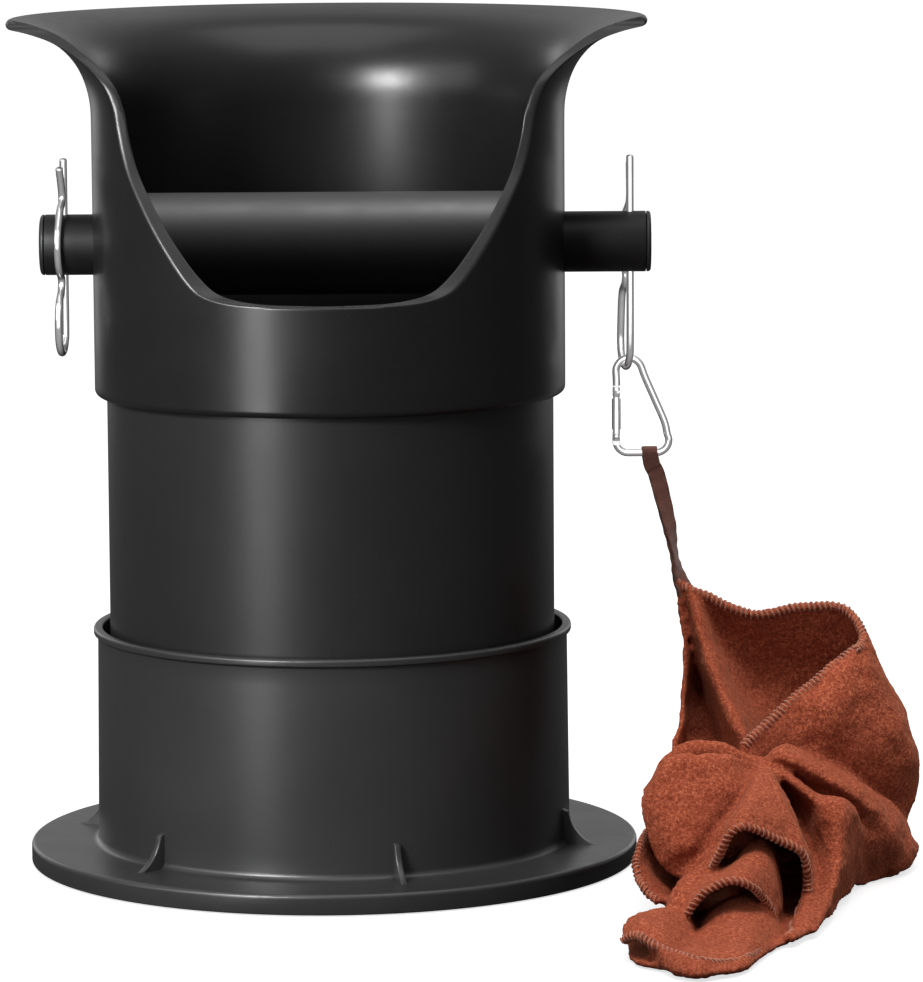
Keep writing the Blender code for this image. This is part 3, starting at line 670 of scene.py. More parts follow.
core_hi, core_lo = c_hi[0], c_lo[0]
prof = [(BAR_BORE, core_lo)] + [(BAR_BORE, core_lo + (core_hi - core_lo) * k / 10) for k in range(1, 10)] + \
       [(BAR_BORE, core_hi)] + arc(BAR_R - 0.3, core_hi - 0.3, 0.3, 90, 0, 3) + \
       [(BAR_R, core_hi - (core_hi - core_lo) * k / 20) for k in range(1, 20)] + arc(BAR_R - 0.3, core_lo + 0.3, 0.3, 0, -90, 3)
core = lay_x(lathe("knock_bar_tube", prof, M_BAR, steps=128))
for x in (LEFT_CLIP_X, RIGHT_CLIP_X):
    boolean(core, cone_tool(1.7, 1.7, 40.0, (x, 0, BAR_Z), "Z", 32))
core.data.shade_smooth()
core.data.set_sharp_from_angle(angle=math.radians(40))
put(core, "knock_bar", "bar_black", "knock_bar_core")

prof = [(11.2, -SLEEVE_HALF + 0.4), (11.2, 0.0), (11.2, SLEEVE_HALF - 0.4), (11.6, SLEEVE_HALF)]
prof += arc(SLEEVE_R - 2.0, SLEEVE_HALF - 2.0, 2.0, 90, 0, 9)
prof += [(SLEEVE_R, SLEEVE_HALF - 2.0 - (2 * SLEEVE_HALF - 4.0) * k / 40) for k in range(1, 40)]
prof += arc(SLEEVE_R - 2.0, -SLEEVE_HALF + 2.0, 2.0, 0, -90, 9) + [(11.6, -SLEEVE_HALF)]
sleeve = put(lay_x(lathe("knock_bar_rubber", prof, M_RUBBER, steps=160)), "knock_bar", "sleeve_rubber", "knock_bar_sleeve")


def plug(name, x_end, sign, crown, node):
    p = [(0.01, 0.0), (BAR_R - crown - 2.0, -0.1)] + arc(BAR_R - crown, -crown - 0.12, crown, 90, 0, 9)
    p += [(BAR_R, -1.5), (BAR_R - 0.15, -1.6), (8.55, -1.6), (8.55, -5.2), (8.2, -5.6), (0.01, -5.6)]
    ob = lathe(name, p, M_PLUG, steps=96, closed=True)
    return put(lay_x(ob, x_end, sign), "knock_bar", "plug_black", node)


plug("end_plug_left", BAR_LEFT, -1, 1.35, "bar_end_plug_left")
plug("end_plug_right", BAR_RIGHT, 1, 1.1, "bar_end_plug_right")


# ---- hairpin clips --------------------------------------------------------------------------------
def clip_wire(name, x, low, side, node, body, yaw_deg, hide_above):
    """Straight leg through the bar, eye below it, sprung leg round the bar, closed over it and flared at its tip."""
    top = (cl_hi[2] if side < 0 else cr_hi[2])
    eye, hug = 6.3, BAR_R + 2.1
    pts = [(0.0, top), (0.0, 240.0), (0.0, 222.0), (0.0, 206.0), (0.0, low + 16.0)]
    pts += [(eye - eye * math.cos(math.radians(a)), low + eye * 1.35 * (1 - math.sin(math.radians(a))))
            for a in range(15, 166, 15)]
    pts += [(2 * eye, low + 12.0), (2 * eye - 1.9, 202.0), (6.4, 206.8)]
    pts += [(hug * math.cos(math.radians(a)), BAR_Z + hug * math.sin(math.radians(a)))
            for a in (-62, -42, -22, 0, 18, 32)]
    pts += [(7.0, BAR_Z + 12.8), (3.6, BAR_Z + 15.6), (3.1, BAR_Z + 18.4), (4.6, BAR_Z + 22.2), (7.2, BAR_Z + 27.6)]
    yaw = math.radians(yaw_deg)
    ux, uy = -math.sin(yaw), side * math.cos(yaw)
    turn = [1.0 - hide_above * min(1.0, max(0.0, (z - BAR_Z - 6.0) / 8.0)) for u, z in pts]
    path = spline([(x + u * ux * k, u * uy, z) for (u, z), k in zip(pts, turn)], 6)
    path = resample(path, 190)
    ob = tube(name, path, WIRE_R, M_CLIP, sides=28)
    return put(ob, body, "clip_steel", node)


clip_wire("hairpin_clip_left", LEFT_CLIP_X, cl_lo[2] + WIRE_R, -1, "r_clip_left", "left_clip", CLIP_YAW_DEG, 0.0)
clip_wire("hairpin_clip_right", RIGHT_CLIP_X, cr_lo[2] + WIRE_R, 1, "r_clip_right", "right_clip", 14.0, 1.0)


# ---- carabiner --------------------------------------------------------------------------------------
def box_tool(size, centre):
    mesh = bpy.data.meshes.new("tool")
    bm = bmesh.new()
    bmesh.ops.create_cube(bm, size=1.0)
    bm.transform(Matrix.Diagonal((size[0] * MM, size[1] * MM, size[2] * MM, 1.0)))
    bmesh.ops.bevel(bm, geom=list(bm.edges), offset=0.12 * MM, segments=2, affect="EDGES")
    bm.transform(Matrix.Translation(Vector(centre) * MM))
    bm.to_mesh(mesh)
    bm.free()
    return link(bpy.data.objects.new("tool", mesh))


def carabiner_mesh():
    path = [(GATE_X + 0.1, 166.0), (GATE_X + 0.1, 170.6)]
    path += arc(107.3, 174.6, 4.7, 188, 22, 9)
    path += [(113.2, 172.2), (116.6, 164.4), (120.0, 156.4)]
    path += arc(117.0, 149.6, 4.6, 28, -86, 7)
    path += [(112.0, 145.0)]
    path += arc(107.0, 149.4, 4.4, 266, 178, 6)
    path += [(GATE_X, 152.6)]
    pts = resample(spline([(x, CARA_Y, z) for x, z in path], 8), 220)
    ob = tube("carabiner_ring", pts, CARA_R, M_CARA, sides=28)
    for s in (-1, 1):
        boolean(ob, box_tool((8.0, 2.0, 5.6), (GATE_X, CARA_Y + s * 1.6, 150.8)))
        boolean(ob, box_tool((8.0, 2.0, 6.0), (GATE_X, CARA_Y + s * 1.6, 166.4)))
    boolean(ob, box_tool((4.0, 4.0, 6.0), (GATE_X + 2.0, CARA_Y, 166.4)))
    boolean(ob, cone_tool(0.8, 0.8, 8.0, (GATE_X, CARA_Y, 151.0), "Y", 32))
    ob.data.shade_smooth()
    ob.data.set_sharp_from_angle(angle=math.radians(38))
    return ob


put(carabiner_mesh(), "carabiner", "carabiner_steel", "carabiner_body")

g_lo, g_hi = ga_lo[2], ga_hi[2]
prof = [(0.01, g_hi), (GATE_R - 0.45, g_hi)] + arc(GATE_R - 0.4, g_hi - 0.4, 0.4, 80, 0, 4) + \
       [(GATE_R, g_hi - 3.4), (GATE_R - 0.12, g_hi - 3.6), (GATE_R - 0.12, g_hi - 4.0), (GATE_R, g_hi - 4.2), (GATE_R, g_lo + 0.4)] + \
       arc(GATE_R - 0.4, g_lo + 0.4, 0.4, 0, -80, 4) + [(GATE_R - 0.45, g_lo), (0.01, g_lo)]
gate = lathe("carabiner_gate_sleeve", prof, M_CARA, steps=48)
gate.data.transform(Matrix.Translation((GATE_X * MM, CARA_Y * MM, 0)))
boolean(gate, box_tool((6.0, 1.8, 6.4), (GATE_X, CARA_Y, 150.4)))
boolean(gate, box_tool((6.0, 1.8, 8.0), (GATE_X, CARA_Y, 168.6)))
boolean(gate, cone_tool(1.0, 1.0, 9.4, (GATE_X, CARA_Y, 156.8), "Z", 28))
boolean(gate, cone_tool(0.6, 0.6, 8.0, (GATE_X + 0.75, CARA_Y, 167.2), "Y", 24))
boolean(gate, cone_tool(0.75, 0.75, 8.0, (GATE_X, CARA_Y, 151.0), "Y", 24))
gate.data.shade_smooth()
gate.data.set_sharp_from_angle(angle=math.radians(38))
put(gate, "gate", "carabiner_steel", "carabiner_gate")

prof = [(0.01, 2.3)] + arc(0.3, 1.6, 0.7, 80, 0, 5) + [(0.5, 1.55), (0.5, -1.55)] + arc(0.3, -1.6, 0.7, 0, -80, 5) + [(0.01, -2.3)]
rivet = lathe("pivot_rivet", prof, M_CARA, steps=32)
rivet.data.transform(Matrix.Translation((GATE_X * MM, CARA_Y * MM, 0.151)) @ Matrix.Rotation(math.radians(90), 4, "X"))
put(rivet, "carabiner", "carabiner_steel", "carabiner_pivot_rivet")
prof = [(0.01, 1.35), (0.34, 1.35), (0.42, 1.25), (0.42, -1.25), (0.34, -1.35), (0.01, -1.35)]
pin_ = lathe("catch_pin", prof, M_CARA, steps=24)
pin_.data.transform(Matrix.Translation(((GATE_X + 0.75) * MM, CARA_Y * MM, 0.1672)) @ Matrix.Rotation(math.radians(90), 4, "X"))
put(pin_, "gate", "carabiner_steel", "carabiner_catch_pin")
coil = [(GATE_X + 0.66 * math.cos(a), CARA_Y + 0.66 * math.sin(a), 154.6 + 5.8 * a / (10 * math.pi))
        for a in np.linspace(0, 10 * math.pi, 141)]
put(tube("gate_spring", coil, 0.16, M_CARA, sides=8), "gate", "carabiner_steel", "carabiner_gate_spring")


# ---- towel and tape materials -----------------------------------------------------------------------------
def terry(name, deep, mid, light):
    """Brushed microfibre pile: clumped fibres that catch the light, patches brushed one way or the other, painted shade
    in its creases, and a near-black colour seen only in reflections as a painted reflection.
    """
    n = Nodes(name)
    fibre = n.noise(1500.0, 3.0, 0.6)
    clump = n.noise(850.0, 2.0, 0.55)
    patch = n.noise(30.0, 3.0, 0.55)
    both = n.math("ADD", n.math("MULTIPLY", fibre, 0.5), n.math("MULTIPLY", clump, 0.5))
    tone = n.ramp(both, [(0.37, deep), (0.5, mid), (0.635, light)])
    tone = n.mix(n.range(patch, 0.38, 0.68, 0.0, 0.34), tone, tuple(c * 0.55 for c in mid))
    # painted shade: the pile's colour is darkened towards a deep brown in creases and hollows, measured by ambient
    # occlusion
    painted_crease_ao = n.node("ShaderNodeAmbientOcclusion")
    painted_crease_ao.samples = 8
    painted_crease_ao.inputs["Distance"].default_value = 0.014
    shade = n.range(painted_crease_ao.outputs["AO"], 0.25, 0.90, 0.55, 0.0)
    tone = n.mix(shade, tone, tuple(c * 0.45 for c in deep))
    # painted reflection: in glossy reflections the pile's colour is near black, so it lends the black plastic almost no
    # red
    painted_dark_reflection_path = n.node("ShaderNodeLightPath")
    tone = n.mix(n.math("MULTIPLY", painted_dark_reflection_path.outputs["Is Glossy Ray"], 0.8), tone, (0.02, 0.012, 0.010))
    n.link(tone, n.bsdf.inputs["Base Color"])
    n.bsdf.inputs["Roughness"].default_value = 0.95
    n.bsdf.inputs["Specular IOR Level"].default_value = 0.08
    n.bsdf.inputs["Sheen Weight"].default_value = 0.22
    n.bsdf.inputs["Sheen Roughness"].default_value = 0.45
    n.bsdf.inputs["Sheen Tint"].default_value = (0.95, 0.38, 0.22, 1.0)
    normal = n.bump(clump, 0.6, 0.0006)
    normal = n.bump(fibre, 0.7, 0.0004, normal)
    n.link(normal, n.bsdf.inputs["Normal"])
    n.mat.diffuse_color = (*mid, 1.0)
    return n.mat


def woven(name, tone, light, scale):
    """Narrow woven tape or twisted thread: fine ribs with a slight fuzz."""
    n = Nodes(name)
    ribs = n.node("ShaderNodeTexWave")
    ribs.wave_type = "BANDS"
    ribs.bands_direction = "DIAGONAL"
    ribs.inputs["Scale"].default_value = scale
    ribs.inputs["Distortion"].default_value = 1.2
    ribs.inputs["Detail"].default_value = 2.0
    n.link(n.coord.outputs["Object"], ribs.inputs["Vector"])
    fuzz = n.noise(900.0, 3.0, 0.6)
    col = n.mix(n.math("MULTIPLY", ribs.outputs["Fac"], n.range(fuzz, 0.3, 0.7, 0.4, 1.0)), tone, light)
    n.link(col, n.bsdf.inputs["Base Color"])
    n.bsdf.inputs["Roughness"].default_value = 0.85
    n.bsdf.inputs["Sheen Weight"].default_value = 0.3
    normal = n.bump(ribs.outputs["Fac"], 0.5, 0.0003)
    normal = n.bump(fuzz, 0.4, 0.0002, normal)
    n.link(normal, n.bsdf.inputs["Normal"])
    n.mat.diffuse_color = (*tone, 1.0)
    return n.mat


M_TOWEL = terry("towel_brown", (0.20, 0.037, 0.018), (0.32, 0.069, 0.033), (0.54, 0.150, 0.075))
M_STRAP = woven("strap_maroon", (0.085, 0.022, 0.014), (0.26, 0.095, 0.065), 700.0)
M_THREAD = woven("hem_thread", (0.30, 0.075, 0.036), (0.66, 0.26, 0.145), 1100.0)


# ---- towel ------------------------------------------------------------------------------------------------
# control points of the cloth's layers, (x, y, z) in millimetres
# columns of the raised corner: left edge, light fold, hollow, back, right fold, front flap, hem
UPPER = [
    [(124.1, 4, 98.1), (125.7, 1, 85.4), (127, -4, 72.7), (126.7, -10, 60.9), (124.9, -18, 51.4), (122.4, -28, 43), (119.4, -40, 26.5), (117.8, -44, 6.3)],
    [(125.5, 5, 97.2), (127, 5, 84.8), (128.8, 5, 71.2), (129.1, 4, 58.5), (128.1, -3, 48.7), (126.3, -10, 39), (123.9, -34, 25.3), (122.1, -42, 5.9)],
    [(126.9, 4, 96.6), (129.1, 5, 84.4), (131.7, 7, 70.8), (135, 8, 57.4), (137.6, 0, 47.4), (139, -9, 38.4), (135.1, -38, 26), (132.6, -46, 6.6)],
    [(129, 1, 96), (130.8, -6, 85), (134, -15, 73.7), (137.9, -25, 62.3), (142.7, -36, 53), (146.4, -46, 45.4), (144.5, -50, 28.2), (142.7, -50, 8.1)],
    [(131.5, 1, 94.8), (134.2, -4, 83.6), (138.1, -12, 72.1), (142.7, -21, 60.9), (147.1, -32, 51.9), (149.8, -42, 43.9), (147.4, -47, 27.3), (145.3, -48, 7.3)],
    [(134, 1, 93.7), (137, 3, 80.6), (141.9, -1, 67.3), (147.2, -9, 55.9), (151.7, -20, 46.8), (153.8, -28, 39.6), (152.5, -38, 24.1), (150.5, -42, 5.7)],
    [(140.5, 1, 90.8), (144.4, 6, 77.2), (149.5, 6, 63.9), (154.9, 0, 52.4), (159.2, -8, 43.2), (162, -15, 35.3), (162.8, -26, 19.2), (161.4, -32, 2.9)],
    [(152.4, 0, 86.8), (155.6, 6, 74.2), (160.4, 8, 61.3), (166.5, 6, 49.8), (171.3, 1, 40.4), (174.6, -4, 31.4), (176.3, -12, 15.6), (175.2, -24, 3)],
    [(168.5, -1, 89.4), (171.8, 4, 76.6), (176.4, 8, 63.4), (183, 9, 50.7), (188.3, 6, 39.4), (192, 2, 29.8), (193.1, -4, 14.7), (189.9, -18, 2.8)],
    [(181.4, -3, 89.7), (186, 1, 76.2), (192.2, 6, 62.9), (199.7, 8, 50), (204.6, 5, 38.7), (206.4, 1, 29.1), (204.6, -5, 16.3), (199.4, -16, 3.8)],
    [(188.2, -8, 85.7), (193.3, -3, 73.9), (199.4, 1, 60.8), (205.3, 1, 48.6), (208.6, -3, 37.9), (209.5, -6, 29), (206.3, -10, 18), (202, -20, 5.7)],
    [(190.6, -15, 80.9), (195.1, -13, 71.9), (200.6, -12, 60.8), (205.7, -12, 49.4), (208.8, -14, 38.8), (209, -16, 29.7), (205.3, -18, 18.8), (203.1, -24, 7.6)],
    [(189.1, -21, 78.3), (192.8, -25, 69.9), (197.7, -27, 59.4), (201.5, -29, 48.8), (203.3, -29, 38.3), (202.1, -27, 28.5), (198, -25, 18.7), (197.1, -28, 9.1)],
    [(187.8, -24, 77.7), (186.9, -32, 67.1), (188.1, -36, 56.6), (189.1, -37, 45.7), (188.5, -36, 36.1), (186.5, -35, 28), (184.4, -34, 20.6), (184.5, -34, 10.4)],
    [(187.1, -25, 77.5), (182.6, -33, 70.9), (178.9, -40, 63.1), (175.9, -44, 54.9), (172.6, -45, 46.5), (170.2, -45, 38.6), (168.8, -44, 30.5), (168.2, -43, 21.3)],
    [(186.8, -23, 77.9), (179.7, -29, 73.2), (170.6, -37, 67.4), (161.7, -44, 61.4), (153.2, -51, 54.8), (145.8, -58, 49.4), (142.1, -62, 44), (139.6, -62, 37.6)],
]
# gathered folds: each row of points runs from the gather outwards, left side first
FAN = [
    [(153.1, -60, 42.9), (140.4, -46, 39.7), (129.4, -38, 36.1), (123.8, -36, 29.3), (121.5, -40, 18.5), (120.6, -46, 6.7)],
    [(152.5, -64, 44), (138.2, -62, 46.6), (129.2, -60, 47), (121.5, -60, 42.4), (117.2, -62, 32.8), (114.3, -64, 13.2)],
    [(151.9, -68, 45.1), (141.3, -70, 49.1), (131.5, -72, 51.6), (123.8, -73, 51.5), (116.7, -74, 46.1), (111.7, -78, 38)],
    [(151.8, -71, 44.2), (141, -76, 41.3), (131.2, -78, 40.3), (123.5, -79, 39.5), (117.2, -80, 35.9), (112.3, -82, 31.7)],
    [(151.7, -72, 45.1), (140.6, -84, 48.1), (130.7, -89, 50.1), (122.3, -91, 50.2), (115, -92, 46.2), (109.5, -92, 38.5)],
    [(151.7, -72, 45.1), (140.4, -88, 48.8), (130.4, -95, 51.2), (122.1, -98, 51.5), (114.8, -99, 47.5), (109.3, -98, 39.3)],
    [(151.6, -73, 45.3), (139.9, -92, 46.4), (130.3, -99, 46.7), (121.5, -102, 45.2), (113.6, -104, 42.2), (108.4, -103, 36.4)],
    [(151.6, -74, 45.5), (140.4, -95, 43.8), (131.8, -102, 41.3), (123.4, -107, 38.1), (114.7, -110, 34.9), (109.3, -108, 30.1)],
    [(151.5, -75, 45.3), (141.7, -97, 41.4), (134.5, -105, 35.2), (126.9, -113, 29.9), (119.2, -117, 25.5), (112.2, -113, 20.6)],
    [(151.9, -75, 45.3), (143.1, -97, 40.3), (137.2, -104, 33.3), (131.4, -112, 26.9), (125.1, -116, 20.4), (119.5, -117, 14.4)],
    [(151.9, -75, 44.9), (144.4, -99, 40.7), (139.8, -108, 34.7), (136, -116, 28.3), (132.4, -120, 22.2), (128.2, -122, 16.7)],
    [(152.2, -76, 45.1), (146.4, -106, 42.7), (142.6, -120, 39.8), (139.1, -128, 36.5), (136.2, -132, 32.2), (133.5, -132, 26.7)],
    [(152.2, -76, 44.8), (149.3, -104, 42.6), (147.2, -117, 41.3), (145.4, -125, 39.7), (143.7, -131, 38.1), (141.8, -135, 35.8)],
    [(152.5, -76, 44.8), (153.3, -99, 43.1), (154.6, -112, 39.9), (156.3, -119, 35.7), (158, -124, 31.1), (159.5, -128, 25.7)],
    [(152.9, -76, 45.1), (154.1, -97, 42.7), (156.5, -110, 38.8), (159.1, -117, 32.9), (161.9, -122, 25.9), (163.7, -126, 19.1)],
    [(152.9, -76, 45.1), (154.7, -92, 41.4), (157.2, -103, 36.1), (160.5, -112, 29.5), (163.5, -119, 21.1), (164.1, -125, 11.9)],
    [(152.9, -75, 44.9), (155.8, -85, 39), (159.5, -93, 31.7), (163.1, -103, 23.5), (164.6, -117, 14.4), (160.2, -133, 4.3)],
    [(153, -74, 44.8), (157.9, -74, 35.2), (163.4, -81, 24.8), (167.4, -100, 15.2), (164.8, -130, 7.8), (155.3, -165, 2.3)],
    [(152.9, -75, 45.3), (159.7, -79, 37.9), (167, -89, 30.6), (171.8, -101, 20.2), (171.1, -122, 9.9), (164.8, -147, 2.1)],
    [(152.9, -75, 45.3), (160.5, -83, 39.3), (167.9, -92, 31.1), (172.4, -103, 20.6), (171.8, -122, 9.9), (164.8, -147, 2.1)],
    [(152.9, -76, 45.1), (160.5, -88, 41.7), (168.4, -94, 36.8), (177.4, -95, 33.7), (181.6, -89, 25.2), (181.6, -80, 2.5)],
    [(153, -74, 45.5), (161.3, -80, 41.9), (170.7, -81, 35.3), (180.3, -78, 30.8), (186.1, -70, 19.7), (186.3, -64, -0.1)],
    [(153, -73, 45.3), (162.4, -74, 35.5), (172.5, -74, 27.3), (182, -68, 22.8), (190.8, -63, 16.1), (193.8, -52, 0.2)],
    [(153, -74, 45.8), (163, -75, 41.7), (174.7, -73, 35.2), (186.2, -69, 28.3), (196.8, -58, 16.9), (200.6, -47, 1.3)],
    [(152.9, -76, 46.2), (158.9, -80, 48.3), (169.5, -78, 42.6), (183.1, -72, 33.9), (197.8, -55, 20.2), (205.5, -39, 2.2)],
    [(153.1, -72, 46.2), (158.4, -71, 50.5), (169.8, -67, 44.8), (183.7, -59, 35.7), (198.6, -44, 23.1), (209.1, -30, 5.8)],
    [(153.4, -66, 45.1), (161.7, -56, 47.1), (174.4, -46, 39.5), (188.5, -36, 29.6), (201.6, -24, 18.5), (208.9, -10, 3.3)],
    [(153.4, -66, 45.1), (164, -54, 46), (177.3, -44, 39.1), (190.8, -34, 29.2), (202.5, -22, 18.1), (208.7, -8, 2.9)],
    [(153.7, -62, 44.3), (166.1, -42, 40.9), (179.9, -27, 30.9), (192.9, -16, 20.7), (202.4, -6, 9.9), (205.9, 2, -1.6)],
]
# second layer, under the fan's hem
TONGUE = [
    [(142.6, -100, 18.1), (135.4, -106, 15.2), (128.4, -110, 13.2), (123.1, -114, 11.3), (119.5, -118, 7.3), (118, -120, 2.5)],
    [(142, -106, 19.3), (135, -115, 17.7), (127.1, -124, 17.5), (121.4, -130, 15.7), (117.1, -135, 11.2), (115.3, -139, 4.5)],
    [(142.8, -110, 20.8), (136.9, -119, 18.5), (129.9, -129, 16.8), (124.5, -137, 14.7), (121.2, -144, 10.3), (119.2, -150, 5.4)],
    [(144.3, -114, 23.7), (139, -124, 20.2), (133.4, -134, 18.5), (129, -142, 17), (125.7, -149, 14.7), (123.1, -154, 11.4)],
    [(145.5, -117, 27.1), (141.6, -127, 23.5), (137.7, -137, 21.5), (134.3, -145, 20.4), (131.7, -150, 19), (129.4, -156, 18.2)],
    [(146.7, -119, 28.8), (144.9, -128, 26.1), (143, -138, 24.4), (140.9, -146, 23.3), (138.9, -153, 22.6), (136.6, -158, 21.3)],
    [(148.1, -119, 28.8), (148, -128, 26.1), (147.4, -138, 24), (146, -146, 22.2), (144.6, -152, 20.7), (143, -157, 19.4)],
    [(149.6, -117, 27.7), (150.9, -124, 24.3), (151.1, -132, 21), (150.4, -139, 17.7), (149.1, -145, 15.5), (147.8, -149, 13.2)],
    [(150.8, -114, 26.1), (152.1, -120, 21.7), (152.8, -127, 17.3), (152.4, -134, 12.5), (151.4, -140, 10), (150.1, -145, 7.6)],
    [(151.5, -108, 23.9), (153.3, -112, 18.7), (154, -118, 13.3), (153.9, -126, 8), (153.1, -134, 4.9), (151.6, -142, 2.8)],
    [(151.6, -100, 20.9), (153.6, -101, 14), (154.7, -105, 8.6), (155, -112, 4.4), (154.3, -124, 1.4), (152.6, -142, -0.6)],
]
# lowest layer: rolled nose on the left, cupped lip in front
LIP = [
    [(110.5, -132, 4.7), (106.3, -146, 7.4), (102.9, -158, 8.6), (100.6, -168, 8.7), (99.3, -176, 8), (99.2, -182, 7)],
    [(115.7, -136, 6.9), (112.5, -152, 9.6), (109.3, -165, 11.4), (107, -175, 11.8), (105.1, -183, 11.2), (103.9, -189, 9.8)],
    [(121.8, -136, 6.2), (119.2, -152, 7.9), (116.6, -165, 9.3), (114.2, -176, 10), (111.5, -187, 9.3), (109.2, -196, 7.9)],
    [(125.9, -136, 2.7), (124.9, -151, 2.2), (123, -165, 3.2), (120.8, -178, 4.6), (118, -190, 5.2), (115.9, -201, 5.7)],
    [(131.9, -138, 9), (129.9, -151, 6.6), (128, -165, 4.8), (126.4, -178, 4.3), (124.4, -194, 4.4), (122.8, -208, 4.8)],
    [(137.2, -140, 12.1), (136.2, -153, 10), (134.9, -167, 7.9), (133.6, -180, 6), (132.3, -193, 4.5), (130.8, -204, 3.6)],
    [(142.7, -138, 12.7), (142.7, -150, 10.7), (142.1, -163, 8.7), (141.1, -175, 6.9), (139.8, -187, 4.8), (137.9, -198, 3.2)],
    [(147.6, -134, 9.8), (148.1, -145, 8.3), (147.8, -156, 6.8), (146.9, -166, 5.2), (145.9, -173, 3.7), (144.1, -180, 2.2)],
    [(151.3, -130, 4.7), (151.8, -138, 3.7), (152, -147, 2.8), (151.6, -154, 2), (150.6, -159, 1), (148.7, -164, 0)],
    [(153.8, -116, 0.4), (154.3, -125, 0.2), (154.1, -134, 0), (153.8, -139, -0.3), (153.2, -143, -0.8), (152, -147, -1.3)],
]
# small flap behind the left side
FLAP = [
    [(119.7, -70, 27.9), (116.2, -78, 27.3), (114, -83, 26.9), (112.4, -87, 26.3)],
    [(120.1, -76, 21.3), (115.2, -88, 23.3), (111.1, -96, 24.2), (108.1, -102, 24.4)],
    [(121.2, -84, 15.4), (114.9, -96, 17.5), (109.3, -106, 18.8), (105.7, -113, 19.2)],
    [(122.3, -92, 10), (115.9, -104, 11.8), (110.1, -114, 13.5), (106.2, -119, 14.2)],
    [(124, -100, 6.3), (118, -113, 8), (112.6, -121, 9.7), (108.6, -126, 11.1)],
    [(125.8, -106, 4), (121.2, -118, 4.8), (116.8, -127, 6.8), (112.9, -131, 9)],
]


def net(columns, nu, nv):
    """A smooth surface through a net of points: Catmull-Rom along each column, then across them."""
    cols = [spline(c, nv) for c in columns]
    rows = [spline([c[j] for c in cols], nu) for j in range(len(cols[0]))]
    return np.array(rows)                                   # rows x across x 3


def net_object(name, pts, mat=None):
    r, c = pts.shape[:2]
    verts = pts.reshape(-1, 3) * MM
    faces = [(j * c + i, j * c + i + 1, (j + 1) * c + i + 1, (j + 1) * c + i) for j in range(r - 1) for i in range(c - 1)]
    return mesh_object(name, verts, faces, mat)


def thick(ob, t):
    mod = ob.modifiers.new("thick", "SOLIDIFY")
    mod.thickness = t * MM
    mod.offset = 0.0
    mod.use_even_offset = False
    return modifier_apply(ob)


def ripple(pts, amount, scale, seed):
    """Small irregular waves added to a net of points along its normals."""
    out = pts.copy()
    du = np.gradient(pts, axis=0)
    dv = np.gradient(pts, axis=1)
    nrm = np.cross(du, dv)
    nrm /= np.linalg.norm(nrm, axis=2)[:, :, None] + 1e-9
    for j in range(pts.shape[0]):
        for i in range(pts.shape[1]):
            p = Vector(pts[j, i]) / scale + Vector((seed, seed * 2.3, -seed))
            out[j, i] += nrm[j, i] * amount * (noise.noise(p) + 0.5 * noise.noise(p * 2.1))
    return out


upper = ripple(net(UPPER, 5, 7), 1.1, 13.0, 3.1)
fan = ripple(net(FAN, 6, 10), 1.3, 11.0, 7.7)
tongue = ripple(net(TONGUE, 6, 8), 0.8, 9.0, 1.3)
lip = ripple(net(LIP, 7, 8), 0.8, 9.0, 5.2)
flap = ripple(net(FLAP, 7, 7), 0.9, 8.0, 9.4)

# hems: the cloth edges that are turned over and overlocked
rim = fan[-1]
per = (len(rim) - 1) / 28.0
HEMS = {
    "top": np.vstack([upper[0], upper[1:int(0.74 * len(upper)), -1]]),
    "fan": rim[int(10.2 * per):int(17.1 * per)],
    "middle": tongue[-1][int(0.12 * tongue.shape[1]):],
    "lip": lip[-1][:int(0.92 * lip.shape[1])],
    "flap": flap[-1],
}

sheets = [thick(net_object("s", upper), 2.0), thick(net_object("s", fan), 2.1), thick(net_object("s", tongue), 2.1),
          thick(net_object("s", lip), 2.1), thick(net_object("s", flap), 2.0)]

HEM_R = {"top": 1.55, "fan": 1.35, "middle": 1.25, "lip": 1.4, "flap": 1.2}
for key, path in HEMS.items():
    sheets.append(tube("s", resample(path, int(len(path) * 1.5)), HEM_R[key], None, sides=10))

# outer face of the cupped lip: from its hem down to the table and back under the pile
front = lip[-1]
first = int(0.16 * len(front))
band_cols = []
for i, q in enumerate(front[first:]):
    k = min(1.0, i / (0.22 * len(front)))
    k = k * k * (3 - 2 * k)
    out = Vector((q[0] - 150.0, q[1] + 120.0, 0)).normalized()
    o1, o2 = 5.0 * k - 3.0 * (1 - k), 6.6 * k - 6.0 * (1 - k)
    band_cols.append([q, (q[0] + out.x * o1, q[1] + out.y * o1, q[2] * 0.72 + 0.3), (q[0] + out.x * o2, q[1] + out.y * o2, 1.7),
                      (q[0] - out.x * 9.0, q[1] - out.y * 9.0, 1.3)])
sheets.append(thick(net_object("s", net(band_cols, 1, 4)), 2.2))

# ground layer under the pile and the nose's lower edge
under = [[(x0 + (x1 - x0) * t, y, 1.4 + 0.35 * math.sin(9 * t + y * 0.11)) for t in np.linspace(0, 1, 9)]
         for y, x0, x1 in ((-200, 110, 126), (-192, 103, 137), (-180, 101, 146), (-172, 101.5, 150), (-160, 101, 155), (-150, 103, 159),
                           (-136, 112, 163), (-118, 116, 169), (-100, 117, 173), (-80, 118, 177), (-60, 119, 183), (-42, 122, 189),
                           (-28, 126, 190))]
sheets.append(thick(net_object("s", net(under, 3, 3)), 2.0))

# crumpled cloth inside the pile
mesh = bpy.data.meshes.new("s")
bm = bmesh.new()
bmesh.ops.create_icosphere(bm, subdivisions=5, radius=1.0)
for v in bm.verts:
    d = v.co.normalized()
    k = 1.0 + 0.13 * math.sin(7 * math.atan2(d.x, d.z) + 5 * d.y) + 0.10 * noise.noise(d * 3.1)
    v.co = Vector((150 + 33 * d.x * k, -67 + 29 * d.y * k, max(1.5, 13 + 17 * d.z * k))) * MM
bm.to_mesh(mesh)
bm.free()
sheets.append(link(bpy.data.objects.new("s", mesh)))


